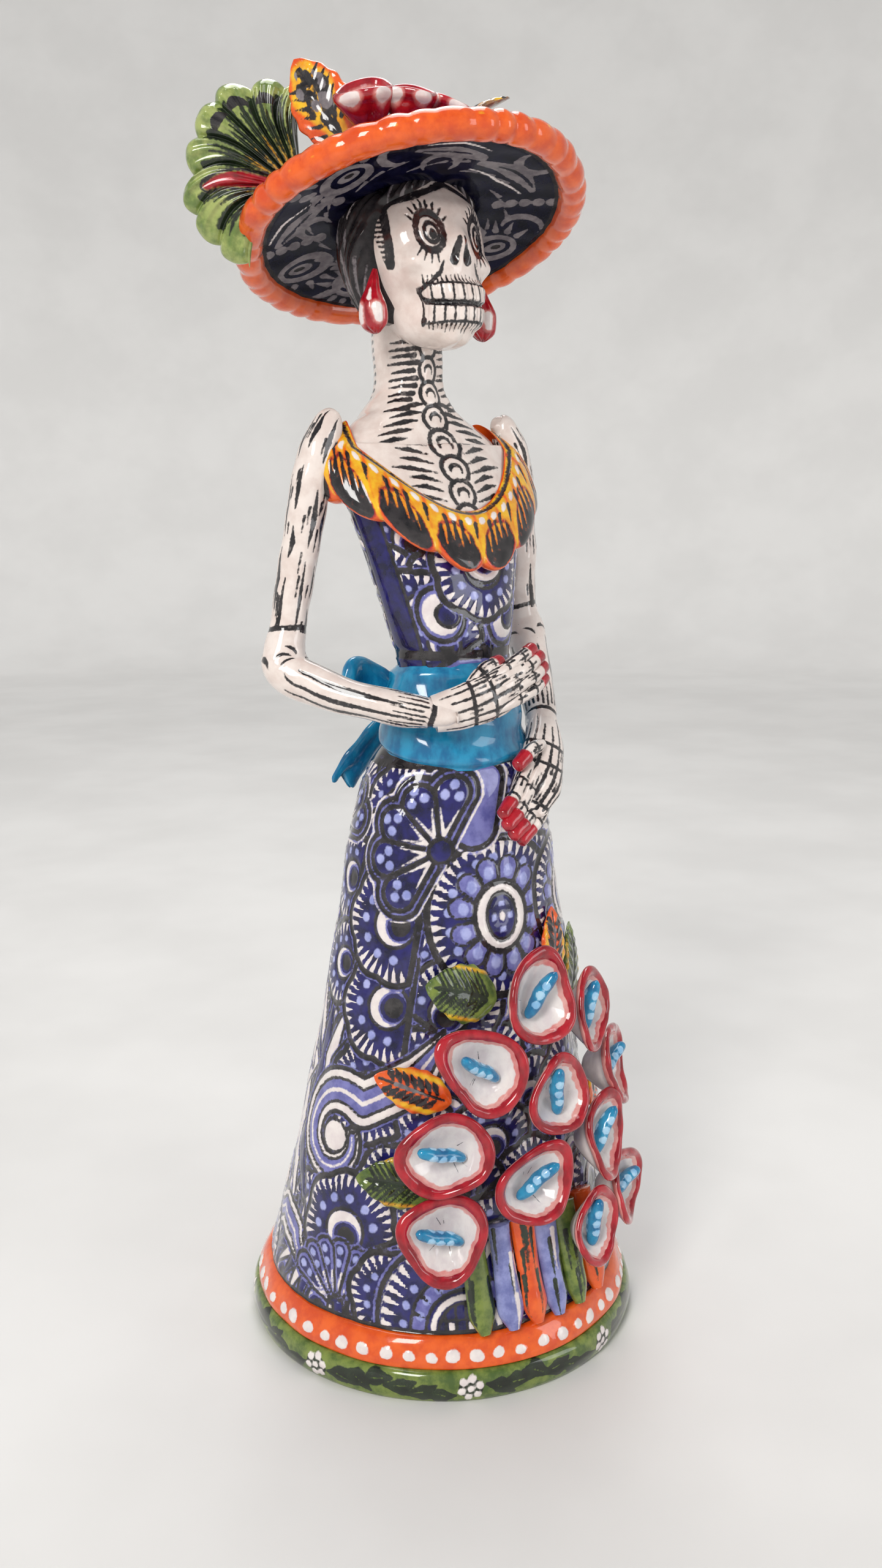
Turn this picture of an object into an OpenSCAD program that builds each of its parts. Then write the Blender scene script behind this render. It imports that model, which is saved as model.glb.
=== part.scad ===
// Standing catrina: a hand-built, glazed and painted ceramic skeleton lady
// with a wide tilted hat, a ruffled collar, a sash and a bouquet of calla
// lilies on her skirt. Origin at the middle of the foot, +Z up, face to -Y,
// her left hand to +X. Millimetres.

/* [Foot and skirt] */
// Width of the oval foot, left to right
foot_w = 88; // [84:1:94]
// Depth of the oval foot, front to back
foot_d = 88; // [84:1:94]
// Height of the green plinth
plinth_h = 6.5; // [5:0.5:8]
// Height of the orange band above the plinth
hem_h = 6.5; // [5:0.5:8]
// Radius of the kiln vent under the foot
vent_r = 1.7; // [1.5:0.1:1.9]
// Wall of the hollow skirt
skirt_wall = 4; // [3:0.5:6]

/* [Body] */
// Height of the waist
waist_z = 146; // [143:1:149]
// Half width of the waist
waist_r = 13; // [12:0.5:14]
// Half width of the shoulders
shoulder_r = 22; // [20:0.5:24]
// Height of the shoulders
shoulder_z = 196; // [194:1:198]
// Radius of the neck
neck_r = 7.4; // [6.5:0.1:8]
// Radius of the upper arms
arm_r = 4.3; // [3.8:0.1:4.8]

/* [Head and hat] */
// Height of the chin
chin_z = 210.5; // [210:0.5:212]
// Height of the skull
skull_h = 35; // [33:0.5:36]
// Radius of the hat, over its rim
hat_r = 37; // [35:0.1:39]
// Backward tilt of the hat, in degrees
hat_tilt = 23; // [20:1:28]
// Radius of the rolled rim
rim_r = 3.2; // [2.6:0.1:3.6]
// Number of thumbed bumps on the rim
rim_bumps = 40; // [32:1:44]

/* [Bouquet] */
// Diameter of a calla lily across its rim
calla_d = 18; // [15:0.5:19]
// Depth of a calla lily's cup
calla_h = 8.5; // [7:0.5:10]
// Length of a leaf
leaf_l = 17; // [14:0.5:19]

/* [Hidden] */
CALLAS = 11;
LEAVES = 6;
STEMS = 6;
HAT_FLOWERS = 3;
function numbered(name, n) = [for (k = [1:n]) str(name, "_", k)];

skirt_z = plinth_h + hem_h;
gap = 0.1;
bone = "#e9dfd6";
red = "#b8242c";
pink = "#edd2cc";
orange = "#e0531c";
green = "#5d7a34";
indigo = "#343a78";
turquoise = "#1c7fa8";

// ---- Solids swept from lists of points ----

// A closed skin over a list of rings, with a cap at each end. Rings run
// anticlockwise about the way the list goes.
module skin(rings) {
    m = len(rings);
    n = len(rings[0]);
    first_cap = [for (j = [0:n - 1]) j];
    last_cap = [for (j = [n - 1:-1:0]) (m - 1) * n + j];
    sides = [for (i = [0:m - 2], j = [0:n - 1]) each quad(i * n + j, i * n + (j + 1) % n, n)];
    polyhedron([for (ring = rings) each ring], concat([first_cap, last_cap], sides));
}

// The same, closed on itself like a tyre.
module tyre(rings) {
    m = len(rings);
    n = len(rings[0]);
    faces = [for (i = [0:m - 1], j = [0:n - 1])
        let (a = i * n + j, b = i * n + (j + 1) % n, c = ((i + 1) % m) * n + j, d = ((i + 1) % m) * n + (j + 1) % n)
        each [[a, c, d], [a, d, b]]];
    polyhedron([for (ring = rings) each ring], faces);
}

function quad(a, b, n) = [[a, a + n, b + n], [a, b + n, b]];

// Catmull-Rom curve through keys of any length, with steps between keys.
function curve(keys, steps) = let (last = len(keys) - 1) concat(
    [for (i = [0:last - 1], s = [0:steps - 1]) between(keys, i, last, s / steps)], [keys[last]]);
function between(k, i, last, t) = let (
    p0 = k[max(i - 1, 0)], p1 = k[i], p2 = k[i + 1], p3 = k[min(i + 2, last)])
    p1 + t / 2 * ((p2 - p0) + t * ((2 * p0 - 5 * p1 + 4 * p2 - p3) + t * (3 * p1 - p0 - 3 * p2 + p3)));

// An oval ring at height z, centred on y = cy, grown by g.
function oval(z, cy, rx, ry, sides, g = 0) =
    [for (j = [0:sides - 1]) let (a = 360 * j / sides) [(rx + g) * cos(a), cy + (ry + g) * sin(a), z]];

function unit(v) = v / norm(v);
function xyz(k) = [k[0], k[1], k[2]];

// Rings around a path of keys [x, y, z, side radius, other radius].
function path_rings(path, sides, ref) = [for (i = [0:len(path) - 1])
    let (t = unit(xyz(path[min(i + 1, len(path) - 1)]) - xyz(path[max(i - 1, 0)])),
        u = unit(cross(ref, t)), v = cross(t, u))
    [for (j = [0:sides - 1]) let (a = 360 * j / sides)
        xyz(path[i]) + path[i][3] * cos(a) * u + path[i][4] * sin(a) * v]];

// A bone, stalk or ribbon along a smoothed path.
module limb(keys, sides = 12, steps = 3, ref = [0, 1, 0.01]) {
    skin(path_rings(curve(keys, steps), sides, ref));
}

// ---- Outlines of the body: [z, centre y, half width, half depth] ----

foot = [foot_w / 2, foot_d / 2];
skirt_keys = [
    [skirt_z, 0, foot[0] - 4.5, foot[1] - 4.5],
    [30, -0.8, foot[0] * 0.83, foot[1] * 0.76],
    [59, -2, foot[0] * 0.72, foot[1] * 0.61],
    [88, -3.2, foot[0] * 0.62, foot[1] * 0.49],
    [112, -3.8, foot[0] * 0.54, foot[1] * 0.4],
    [125, -4, foot[0] * 0.455, foot[1] * 0.335],
    [132, -4, waist_r + 1.5, 11.5]];
bodice_keys = [
    [132.2, -4, waist_r + 0.5, 10.5],
    [waist_z, -4, waist_r, 9.8],
    [157, -3, waist_r + 2.5, 10.4],
    [167, -1, waist_r + 5, 11],
    [178, 2, waist_r + 7.5, 11],
    [186, 5, shoulder_r - 0.5, 10],
    [192, 7.5, shoulder_r, 8]];
sash_keys = [
    [126, -4, waist_r + 6.8, 16],
    [131, -4, waist_r + 4.6, 14],
    [137, -4, waist_r + 2.9, 12.8],
    [waist_z + 2.5, -3.9, waist_r + 1.6, 11.6]];
// The skull has a front and a back depth: [z, centre y, half width, front, back]
skull_keys = [
    [chin_z, 1, 3.5, 5.5, 3],
    [chin_z + 2.5, 2.5, 7, 9.8, 8],
    [chin_z + 7.5, 4, 9, 12.2, 12],
    [chin_z + 13.5, 6, 11.6, 13.2, 15],
    [chin_z + 19.5, 7, 13, 13.8, 16],
    [chin_z + 25.5, 7.5, 12.5, 12, 14.5],
    [chin_z + 31, 8, 9.4, 8.6, 11],
    [chin_z + skull_h, 8, 3.5, 3.5, 4.5]];

// Place of the skirt's surface at height z and angle a from the front,
// positive towards her left, pushed out by g.
function skirt_at(z) = lookup_key(curve(skirt_keys, 6), z);
function lookup_key(c, z) = [for (k = [0:3]) lookup(z, [for (row = c) [row[0], row[k]]])];
function on_skirt(a, z, g = 0) = let (k = skirt_at(z))
    [(k[2] + g) * sin(a), k[1] - (k[3] + g) * cos(a), z];

// ---- Foot, skirt and bodice ----

module oval_plate(h, g) {
    linear_extrude(height = h) polygon([for (j = [0:71]) [(foot[0] + g) * cos(5 * j), (foot[1] + g) * sin(5 * j)]]);
}

module base_plinth() {
    color(green) difference() {
        union() {
            oval_plate(1, -1.2);
            translate([0, 0, 1]) oval_plate(plinth_h - 2, 0);
            translate([0, 0, plinth_h - 1]) oval_plate(1, -1);
        }
        // Vent that lets the hollow skirt breathe in the kiln
        translate([0, 0, -1]) cylinder(h = plinth_h + 2, r = vent_r, $fn = 48);
    }
}

module hem_band() {
    profile = [[-2.3, 0], [-1.6, 1.4], [-3, hem_h - 1.6], [-4.2, hem_h - 0.1], [-8.5, hem_h - 0.1], [-6.5, 0]];
    color(orange) tyre([for (p = profile) oval(plinth_h + p[1], 0, foot[0], foot[1], 60, p[0])]);
}

module skirt() {
    outer = curve(skirt_keys, 3);
    inner = [for (k = [len(skirt_keys) - 1:-1:0]) skirt_keys[k]];
    color(indigo) tyre(concat(
        [for (k = outer) oval(k[0], k[1], k[2], k[3], 40)],
        [for (k = inner) oval(k[0], k[1], k[2], k[3], 40, -skirt_wall)]));
}

module bodice() {
    color(indigo) skin([for (k = curve(bodice_keys, 3)) oval(k[0], k[1], k[2], k[3], 32)]);
}

module neck_and_chest() {
    keys = [
        [192.1, 7.6, shoulder_r - 2.5, 7.4],
        [196, 9.5, shoulder_r - 7, 7.3],
        [199.5, 11, neck_r + 3, neck_r + 0.4],
        [204, 12, neck_r, neck_r],
        [chin_z + 12, 12, neck_r + 0.4, neck_r + 0.4]];
    color(bone) resize([0, 0, 0]) difference() {
        skin([for (k = curve(keys, 3)) oval(k[0], k[1], k[2], k[3], 24)]);
        skin([for (k = curve(skull_keys, 3)) skull_ring(k, 32, gap)]);
        skin([for (z = [chin_z + 3.9, chin_z + 16]) oval(z, 8, 30, 30, 12)]);
    }
}

// ---- Collar: a scalloped strip that hangs from the shoulders ----

// Height of the collar's upper edge at angle a from the front
function front_share(a) = (1 + cos(a)) / 2;
function neckline(a) = shoulder_z + 2.5 - 20.5 * pow(front_share(a), 3.5) - 8 * pow(1 - front_share(a), 3);
function body_at(z) = lookup_key(curve(bodice_keys, 6), z);
function collar_point(a, drop, g) = let (z = neckline(a) - drop, k = body_at(min(z, 191)),
    rise = max(0, z - 191))
    [(k[2] + g - rise * 0.9) * sin(a), k[1] + rise * 0.3 - (k[3] + g - rise * 0.2) * cos(a), z];
function collar_loop(a) = let (w = 11 + 4 * pow(sin(a), 2) + 0.9 * abs(sin(a * 6)), t = 2.1) [
    collar_point(a, 0, gap), collar_point(a, 0.4, t), collar_point(a, w * 0.5, t + 0.5),
    collar_point(a, w, t + 1.1), collar_point(a, w, gap), collar_point(a, w * 0.5, gap)];

module collar() {
    color("#2a2622") tyre([for (j = [59:-1:0]) collar_loop(6 * j)]);
}

// ---- Skull, hair and earrings ----

function skull_ring(k, sides, g = 0) = [for (j = [0:sides - 1]) let (a = 360 * j / sides, s = sin(a))
    [(k[2] + g) * cos(a), k[1] + (s < 0 ? k[3] + g : k[4] + g) * s, k[0]]];

module skull() {
    color(bone) skin([for (k = curve(skull_keys, 3)) skull_ring(k, 32)]);
}

// A cap over the skull, cut off along a line that climbs from the nape, past
// the temples, to the brow
module hair() {
    grown = [for (k = curve(skull_keys, 3)) if (k[0] > chin_z + 4 && k[0] < chin_z + 33) k];
    color("#232022") resize([0, 0, 0]) difference() {
        skin([for (k = grown) skull_ring(k, 32, 3)]);
        skin([for (k = curve(skull_keys, 3)) skull_ring(k, 32, gap)]);
        tilted() translate([-40, -40, 0.9]) cube([80, 80, 30]);
        translate([0, 10, chin_z + 4]) rotate([26, 0, 0]) translate([-30, -40, -20]) cube([60, 40, 60]);
    }
}

module earring(side) {
    color(red) limb([
        [side * 13.2, 4.5, 225, 0.7, 0.7],
        [side * 13.8, 4.2, 222, 1.6, 1.5],
        [side * 14, 4, 218.5, 2.3, 3],
        [side * 13.8, 3.8, 214.8, 2.2, 2.8],
        [side * 13.5, 3.7, 213, 0.9, 1.2]], 10, 2);
}

// ---- Hat, built level and then tilted back ----

hat_c = [0, 10.4, 235.4];
module tilted() {
    translate(hat_c) rotate([-hat_tilt, 2, 0]) children();
}
hat_disc = hat_r - rim_r;
crown_r = 15.6;

module hat_brim() {
    color(indigo) tilted() rotate_extrude($fn = 96) polygon([
        [crown_r, 1.6], [20, 1.2], [27, 0], [hat_disc - 2.9, -1.2],
        [hat_disc - 2.9, 1.3], [27, 2.6], [20, 3.9], [crown_r, 4.4]]);
}

module hat_crown() {
    color(indigo) tilted() rotate_extrude($fn = 64) polygon([
        [crown_r, 4.5], [crown_r + 2.6, 4.5], [crown_r + 2, 9], [crown_r - 1, 12.8],
        [9, 14.8], [0, 15.4], [0, 12.4], [8, 11.8], [crown_r - 2, 9]]);
}

module hat_rim() {
    steps = rim_bumps * 2;
    color(orange) tilted() tyre([for (i = [0:steps - 1]) let (
        a = 360 * i / steps, r = rim_r * (i % 2 == 0 ? 1 : 0.84), c = hat_r - rim_r + (i % 2 == 0 ? 0 : -0.2))
        [for (j = [0:9]) let (b = -36 * j)
            [(c + r * cos(b)) * cos(a), (c + r * cos(b)) * sin(a), r * sin(b)]]]);
}

// Leaf blade lying along +X from its stalk, flat side down, with a tip.
// bend lifts the tip.
module blade(l, w, t, bend = 0, sides = 10, rows = 9) {
    skin([for (i = [0:rows]) let (
        s = i / rows, half = max(0.25, w / 2 * pow(sin(180 * pow(s, 0.85)), 0.7)), thick = max(0.25, t / 2 * sin(20 + 150 * s)))
        [for (j = [0:sides - 1]) let (a = 360 * j / sides)
            [l * s, half * cos(a), thick * (1 + sin(a)) + bend * s * s]]]);
}

// Plume: broad ribs that fan out over the brim, to her right and back
module hat_plume() {
    ribs = 8;
    root = [-25.5, 13.2, 241];
    color(green) resize([0, 0, 0]) union() for (k = [0:ribs - 1]) {
        a = -42 + 20 * k;
        tip = root + 22.5 * [-0.8 * cos(a), 0.6 * cos(a), sin(a)];
        mid = (root + tip) / 2 + [0, 0, 1.2 + 5 * max(0, -sin(a))];
        limb([
            concat(root, [2.4, 1.6]), concat(mid, [3.6, 1.8]),
            concat((mid + 3 * tip) / 4, [4.6, 1.9]), concat(tip, [2, 1])], 10, 3, [0.6, 0.8, 0.05]);
    }
}

module hat_petal() {
    color(orange) translate([-20, 1.8, 246.2]) rotate([-80, -54, 113]) blade(21, 12, 2.6, 1);
}

module hat_leaf() {
    color("#6b4a2e") translate([-1.5, -7, 251.5]) rotate([0, -22, -20]) blade(12, 7, 1.8, 1);
}

module hat_flower(k) {
    place = [[-18.2, -1.8, 248], [-12, -4.8, 248.8], [-4.8, -5.6, 249]][k - 1];
    color(red) translate(place) rotate([16, 12 * k - 30, 40 * k]) cup(13 - k, 10.2 - k, 0.1);
}

// ---- Arms ----

module right_arm() {
    color(bone) limb([
        [-20.5, 8, 197.4, 1.2, 1.2],
        [-22.8, 7.4, 195, 3.3, 3],
        [-26, 7.5, 188, arm_r + 0.1, arm_r],
        [-29, 8.5, 172, arm_r + 0.1, arm_r],
        [-32, 9, 156, arm_r - 0.1, arm_r - 0.2],
        [-33.4, 8, 147.4, arm_r + 0.3, arm_r],
        [-30.4, 2.5, 144, arm_r, arm_r + 0.1],
        [-23, -7, 141, arm_r - 0.4, arm_r - 0.2],
        [-14, -15.6, 138.8, arm_r - 0.8, arm_r - 0.4]], 14, 3, [0.2, 1, 0.1]);
}

module right_hand() {
    color(bone) limb([
        [-13.8, -15.8, 138.8, arm_r - 0.8, arm_r - 0.4],
        [-8, -19, 140.2, 2.7, 5],
        [-1, -20.4, 142.6, 2.5, 5.4],
        [6, -19.6, 145, 2.1, 4.8],
        [11.5, -17.6, 147.2, 1.7, 3.2],
        [13.5, -16.6, 147.8, 0.8, 1.4]], 14, 3, [0, 0.05, 1]);
}

module left_arm() {
    color(bone) limb([
        [20.5, 8, 197.4, 1.2, 1.2],
        [22.6, 7.2, 195, 3.3, 3],
        [25, 6.7, 188, arm_r, arm_r],
        [26, 6, 172, arm_r, arm_r],
        [26.8, 6.2, 157, arm_r, arm_r],
        [26.6, 4, 150.5, arm_r + 0.3, arm_r],
        [23.4, -3, 142.4, arm_r - 0.1, arm_r],
        [19.6, -10, 134.4, arm_r - 0.6, arm_r - 0.6]], 14, 3, [0.05, 1, 0.1]);
}

module left_hand() {
    color(bone) limb([
        [19.4, -10.4, 133.8, arm_r - 0.6, arm_r - 0.6],
        [15.4, -16.4, 129.2, 4.9, 2.7],
        [10, -21.3, 123.8, 5.2, 2.5],
        [4, -24.3, 119, 4.6, 2.1],
        [-1, -25.6, 115.6, 3.2, 1.7],
        [-3, -25.8, 114.4, 1.4, 0.8]], 14, 3, [0.5, 0, 1]);
}

// ---- Sash and bow ----

module sash() {
    outer = curve(sash_keys, 2);
    n = len(outer);
    color(turquoise) tyre([for (k = [0:2 * n - 1]) let (row = outer[k < n ? k : 2 * n - 1 - k],
        body = row[0] < 132 ? skirt_at(row[0]) : body_at(row[0]))
        k < n ? oval(row[0], row[1], row[2], row[3], 40) : oval(row[0], row[1], body[2] + gap, body[3] + gap, 40)]);
}

bow_c = [0, 12.6, 139];

module bow_knot() {
    color(turquoise) limb([
        [bow_c[0], 8.2, bow_c[2], 2.6, 2.2],
        [bow_c[0], 10.5, bow_c[2], 3.6, 3.4],
        [bow_c[0], 13, bow_c[2], 3.3, 3],
        [bow_c[0], 14.6, bow_c[2], 1.6, 1.4]], 12, 3, [0, 0, 1]);
}

module bow_loop(side) {
    color(turquoise) limb([
        [side * 3.6, 11.6, bow_c[2], 1.4, 2.2],
        [side * 8, 12.8, bow_c[2] + 2, 2, 4.4],
        [side * 13, 12.2, bow_c[2] + 3.4, 2.1, 5],
        [side * 17.5, 10, bow_c[2] + 3.8, 1.2, 2.4]], 12, 3, [0, 0, 1]);
}

module bow_tail(side) {
    color(turquoise) limb([
        [side * 3, 12.6, bow_c[2] - 3.4, 2, 1],
        [side * 7, 14.6, bow_c[2] - 9, 3, 1.1],
        [side * 11.5, 16.6, bow_c[2] - 15.5, 3.4, 1.1],
        [side * 14, 17.6, bow_c[2] - 20, 1.6, 0.8]], 10, 3, [0, 1, 0.2]);
}

// ---- Bouquet ----

// Calla cup, opening along +Z from a narrow throat, with a rolled rim that
// rises to a tip at +X.
function cup_ring(r, z, tip, sides = 18) = [for (j = [0:sides - 1])
    let (a = 360 * j / sides, p = pow(max(0, cos(a)), 3))
    [(r * (1 + tip * p)) * cos(a), r * (1 + 0.1 * tip) * sin(a), z + r * 0.35 * tip * p]];
module cup(d, h, tip) {
    r = d / 2;
    skin([
        cup_ring(r * 0.22, 0, 0), cup_ring(r * 0.5, h * 0.3, 0), cup_ring(r * 0.86, h * 0.7, tip),
        cup_ring(r, h * 0.88, tip), cup_ring(r * 0.97, h, tip), cup_ring(r * 0.82, h, tip),
        cup_ring(r * 0.66, h * 0.8, tip), cup_ring(r * 0.34, h * 0.5, tip), cup_ring(r * 0.1, h * 0.36, 0)]);
}

// Each lily: [angle from the front, height, turn of its tip, size]
callas = [
    [-1, 79, 60, 1], [-21, 67, 150, 1], [5, 58, 100, 0.92], [-33, 51, 170, 1], [-8, 42, 40, 0.95],
    [-34, 34.5, 165, 1], [24, 45, 60, 0.95], [27, 72, 80, 0.9], [41, 57, 20, 0.95], [34, 31, 10, 0.9],
    [14, 28, 90, 0.85]];

module on_skirt_face(a, z, g, turn) {
    p = on_skirt(a, z, g);
    translate(p) rotate([0, 0, a]) rotate([76, 0, 0]) rotate([0, 0, turn]) children();
}

module calla(k) {
    c = callas[k - 1];
    color(pink) on_skirt_face(c[0], c[1], 1.4, c[2]) cup(calla_d * c[3], calla_h * c[3], 0.24);
}

module calla_spadices() {
    color(turquoise) for (c = callas) on_skirt_face(c[0], c[1], 1.4, c[2]) {
        s = calla_h * c[3];
        limb([[-0.6, 0, s * 0.62, 0.6, 0.6], [1.4, 0.2, s * 0.74, 1.2, 1.1], [4.4, 0, s * 0.98, 1.1, 1],
            [6, -0.2, s * 1.12, 0.5, 0.5]], 8, 1, [0, 1, 0.1]);
    }
}

// Each leaf: [angle from the front, height, direction, width]
leaves = [
    [-11, 80, 162, 12], [-31, 60, 158, 9], [-36, 43, 172, 10.5], [20, 79, 75, 9],
    [36, 74, 60, 9], [50, 46, 10, 10]];

module leaf(k) {
    c = leaves[k - 1];
    color(k % 2 == 0 ? orange : green) on_skirt_face(c[0], c[1], 0.5, c[2]) blade(leaf_l, c[3], 2, 1.6);
}

module stem(k) {
    a = [-24, -15, -7, 1, 10, 20][k - 1];
    top = 32;
    color([green, indigo, orange, indigo, green, orange][k - 1]) limb([for (i = [0:4])
        let (z = skirt_z + 0.6 + (top - skirt_z) * i / 4) concat(on_skirt(a * (1 + 0.02 * i), z, 1.7), [2.3, 1.6])],
        8, 2, [0, 1, 0.01]);
}

base_plinth();
hem_band();
skirt();
bodice();
neck_and_chest();
collar();
skull();
hair();
earring(1);  // earring_left
earring(-1);  // earring_right
hat_brim();
hat_crown();
hat_rim();
hat_plume();
hat_petal();
hat_leaf();
right_arm();
right_hand();
left_arm();
left_hand();
sash();
bow_knot();
bow_loop(1);  // bow_loop_left
bow_loop(-1);  // bow_loop_right
bow_tail(1);  // bow_tail_left
bow_tail(-1);  // bow_tail_right
for (k = [1:HAT_FLOWERS]) hat_flower(k);
for (k = [1:CALLAS]) calla(k);
calla_spadices();
for (k = [1:LEAVES]) leaf(k);
for (k = [1:STEMS]) stem(k);
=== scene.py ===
"""The looks of a hand-painted glazed ceramic catrina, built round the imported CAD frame.

Every clay piece is a fine mesh made here, in millimetres in the CAD frame. What the
painter did is kept as signed distances to each painted area, one attribute a colour,
which the glaze materials turn into crisp, slightly uneven brush work.
"""

import math

import bpy
import numpy as np
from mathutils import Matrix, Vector


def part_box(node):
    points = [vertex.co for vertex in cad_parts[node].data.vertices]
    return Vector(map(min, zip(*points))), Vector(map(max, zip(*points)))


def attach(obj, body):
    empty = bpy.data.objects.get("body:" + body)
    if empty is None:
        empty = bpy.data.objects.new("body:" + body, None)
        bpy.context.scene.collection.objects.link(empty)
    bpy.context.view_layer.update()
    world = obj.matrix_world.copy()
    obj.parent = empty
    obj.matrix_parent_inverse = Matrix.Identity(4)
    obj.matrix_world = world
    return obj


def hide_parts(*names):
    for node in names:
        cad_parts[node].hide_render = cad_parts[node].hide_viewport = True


MM = 0.001
TAU = 2 * math.pi
FAR = 9.0  # signed distance, in mm, of "nowhere near"
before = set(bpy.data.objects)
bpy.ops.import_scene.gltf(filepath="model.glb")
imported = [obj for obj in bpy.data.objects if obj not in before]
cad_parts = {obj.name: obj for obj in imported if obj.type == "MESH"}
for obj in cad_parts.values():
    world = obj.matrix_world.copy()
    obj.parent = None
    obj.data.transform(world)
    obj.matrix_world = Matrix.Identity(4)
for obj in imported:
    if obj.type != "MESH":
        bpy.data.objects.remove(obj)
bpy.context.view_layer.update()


# ---- Small maths ----

def rng(seed):
    return np.random.default_rng(seed)


def smooth(edge0, edge1, x):
    t = np.clip((x - edge0) / (edge1 - edge0), 0, 1)
    return t * t * (3 - 2 * t)


def bump(x, centre, width):
    """A smooth hill of height 1 at centre."""
    return np.exp(-(((x - centre) / width) ** 2))


def spline(keys, count):
    """Catmull-Rom curve through rows of keys, at count even steps of the keys."""
    keys = np.asarray(keys, float)
    t = np.linspace(0, len(keys) - 1, count)
    i = np.clip(t.astype(int), 0, len(keys) - 2)
    f = (t - i)[:, None]
    p0, p1 = keys[np.maximum(i - 1, 0)], keys[i]
    p2, p3 = keys[i + 1], keys[np.minimum(i + 2, len(keys) - 1)]
    cubic = 3 * p1 - p0 - 3 * p2 + p3
    return p1 + f / 2 * ((p2 - p0) + f * ((2 * p0 - 5 * p1 + 4 * p2 - p3) + f * cubic))


def wobble(points, size, amount, seed):
    """Soft uneven clay: a sum of a few sine waves of random direction."""
    r = rng(seed)
    total = np.zeros(points.shape[:-1])
    for octave in range(7):
        direction = r.normal(size=3)
        direction *= TAU / (size * (0.55 + 0.2 * octave)) / np.linalg.norm(direction)
        total += np.sin(points @ direction + r.uniform(0, TAU))
    return total * amount / 3


# ---- Meshes ----

def grid_faces(rows, cols, wrap_rows=False, wrap_cols=False):
    r = np.arange(rows if wrap_rows else rows - 1)
    c = np.arange(cols if wrap_cols else cols - 1)
    r, c = np.meshgrid(r, c, indexing="ij")
    across, down = (c + 1) % cols, (r + 1) % rows
    quads = [r * cols + c, r * cols + across, down * cols + across, down * cols + c]
    return np.stack(quads, -1).reshape(-1, 4)


def grid_normals(points, wrap_rows=False, wrap_cols=False):
    """Unit normals of a grid of points."""
    def along(axis, wrap):
        if wrap:
            return np.roll(points, -1, axis) - np.roll(points, 1, axis)
        return np.gradient(points, axis=axis)
    n = np.cross(along(1, wrap_cols), along(0, wrap_rows))
    return n / np.maximum(np.linalg.norm(n, axis=-1, keepdims=True), 1e-9)


def outward_normals(points, wrap_rows=False):
    """Normals of a grid that wraps round its own middle, pointing away from it."""
    n = grid_normals(points, wrap_rows, wrap_cols=True)
    away = points - points.mean(1, keepdims=True)
    return n if (n * away).sum() > 0 else -n


def merged(parts):
    """One mesh out of several (points, faces, paint layers)."""
    points, faces, layers, start = [], [], {}, 0
    for part_points, part_faces, part_layers in parts:
        flat = np.asarray(part_points, float).reshape(-1, 3)
        points.append(flat)
        faces.append(outward(flat, np.asarray(part_faces)) + start)
        start += len(flat)
        for colour, distance in part_layers.items():
            layers.setdefault(colour, []).append(np.asarray(distance, float).ravel())
    return np.concatenate(points), np.concatenate(faces), {k: np.concatenate(v) for k, v in layers.items()}


def turned(points, place=(0, 0, 0), *turns):
    """Points turned by each (axis, degrees) in order, then moved to place."""
    points = np.asarray(points, float)
    for axis, degrees in turns:
        c, s = math.cos(math.radians(degrees)), math.sin(math.radians(degrees))
        a, b = {"x": (1, 2), "y": (2, 0), "z": (0, 1)}[axis]
        out = points.copy()
        out[..., a] = c * points[..., a] - s * points[..., b]
        out[..., b] = s * points[..., a] + c * points[..., b]
        points = out
    return points + np.array(place, float)


def outward(points, faces):
    """Faces turned so that the solid's volume is positive."""
    centre = points.mean(0)
    a, b, c = (points[faces[:, k]] - centre for k in range(3))
    volume = np.einsum("ij,ij->i", a, np.cross(b, c)).sum()
    return faces if volume > 0 else faces[:, ::-1]


def piece(name, points, faces, material, nodes, paint=None, caps=()):
    """A piece of the object from points in millimetres. caps are rings closed by one face each."""
    points = np.asarray(points, float).reshape(-1, 3)
    faces = outward(points, np.asarray(faces))
    mesh = bpy.data.meshes.new(name)
    mesh.from_pydata((points * MM).tolist(), [], faces.tolist() + [list(map(int, ring)) for ring in caps])
    mesh.validate()
    mesh.polygons.foreach_set("use_smooth", [True] * len(mesh.polygons))
    for colour, distance in (paint or {}).items():
        attribute = mesh.attributes.new(colour, "FLOAT", "POINT")
        attribute.data.foreach_set("value", np.asarray(distance, np.float32).ravel())
    mesh.materials.append(material)
    obj = bpy.data.objects.new(name, mesh)
    bpy.context.scene.collection.objects.link(obj)
    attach(obj, "root")
    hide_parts(*nodes)
    return obj


def tube(keys, rows, cols, ref):
    """Points of a closed tube round a smooth path of keys [x, y, z, radius, other radius].
    Returns the grid of points, with the distance along in mm and the angle round."""
    path = spline(keys, rows)
    centre = path[:, :3]
    tangent = np.gradient(centre, axis=0)
    tangent /= np.linalg.norm(tangent, axis=1, keepdims=True)
    side = np.cross(ref, tangent)
    side /= np.linalg.norm(side, axis=1, keepdims=True)
    other = np.cross(tangent, side)
    angle = np.linspace(0, TAU, cols, endpoint=False)
    ring = (
        path[:, 3, None, None] * np.cos(angle)[None, :, None] * side[:, None]
        + path[:, 4, None, None] * np.sin(angle)[None, :, None] * other[:, None]
    )
    step = np.linalg.norm(np.diff(centre, axis=0), axis=1)
    along = np.concatenate([[0], np.cumsum(step)])
    return centre[:, None] + ring, np.repeat(along[:, None], cols, 1), np.repeat(angle[None], rows, 0)


def tube_caps(rows, cols):
    return [range(cols), range((rows - 1) * cols, rows * cols)]


# ---- Paint: signed distances on a surface ----

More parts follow.
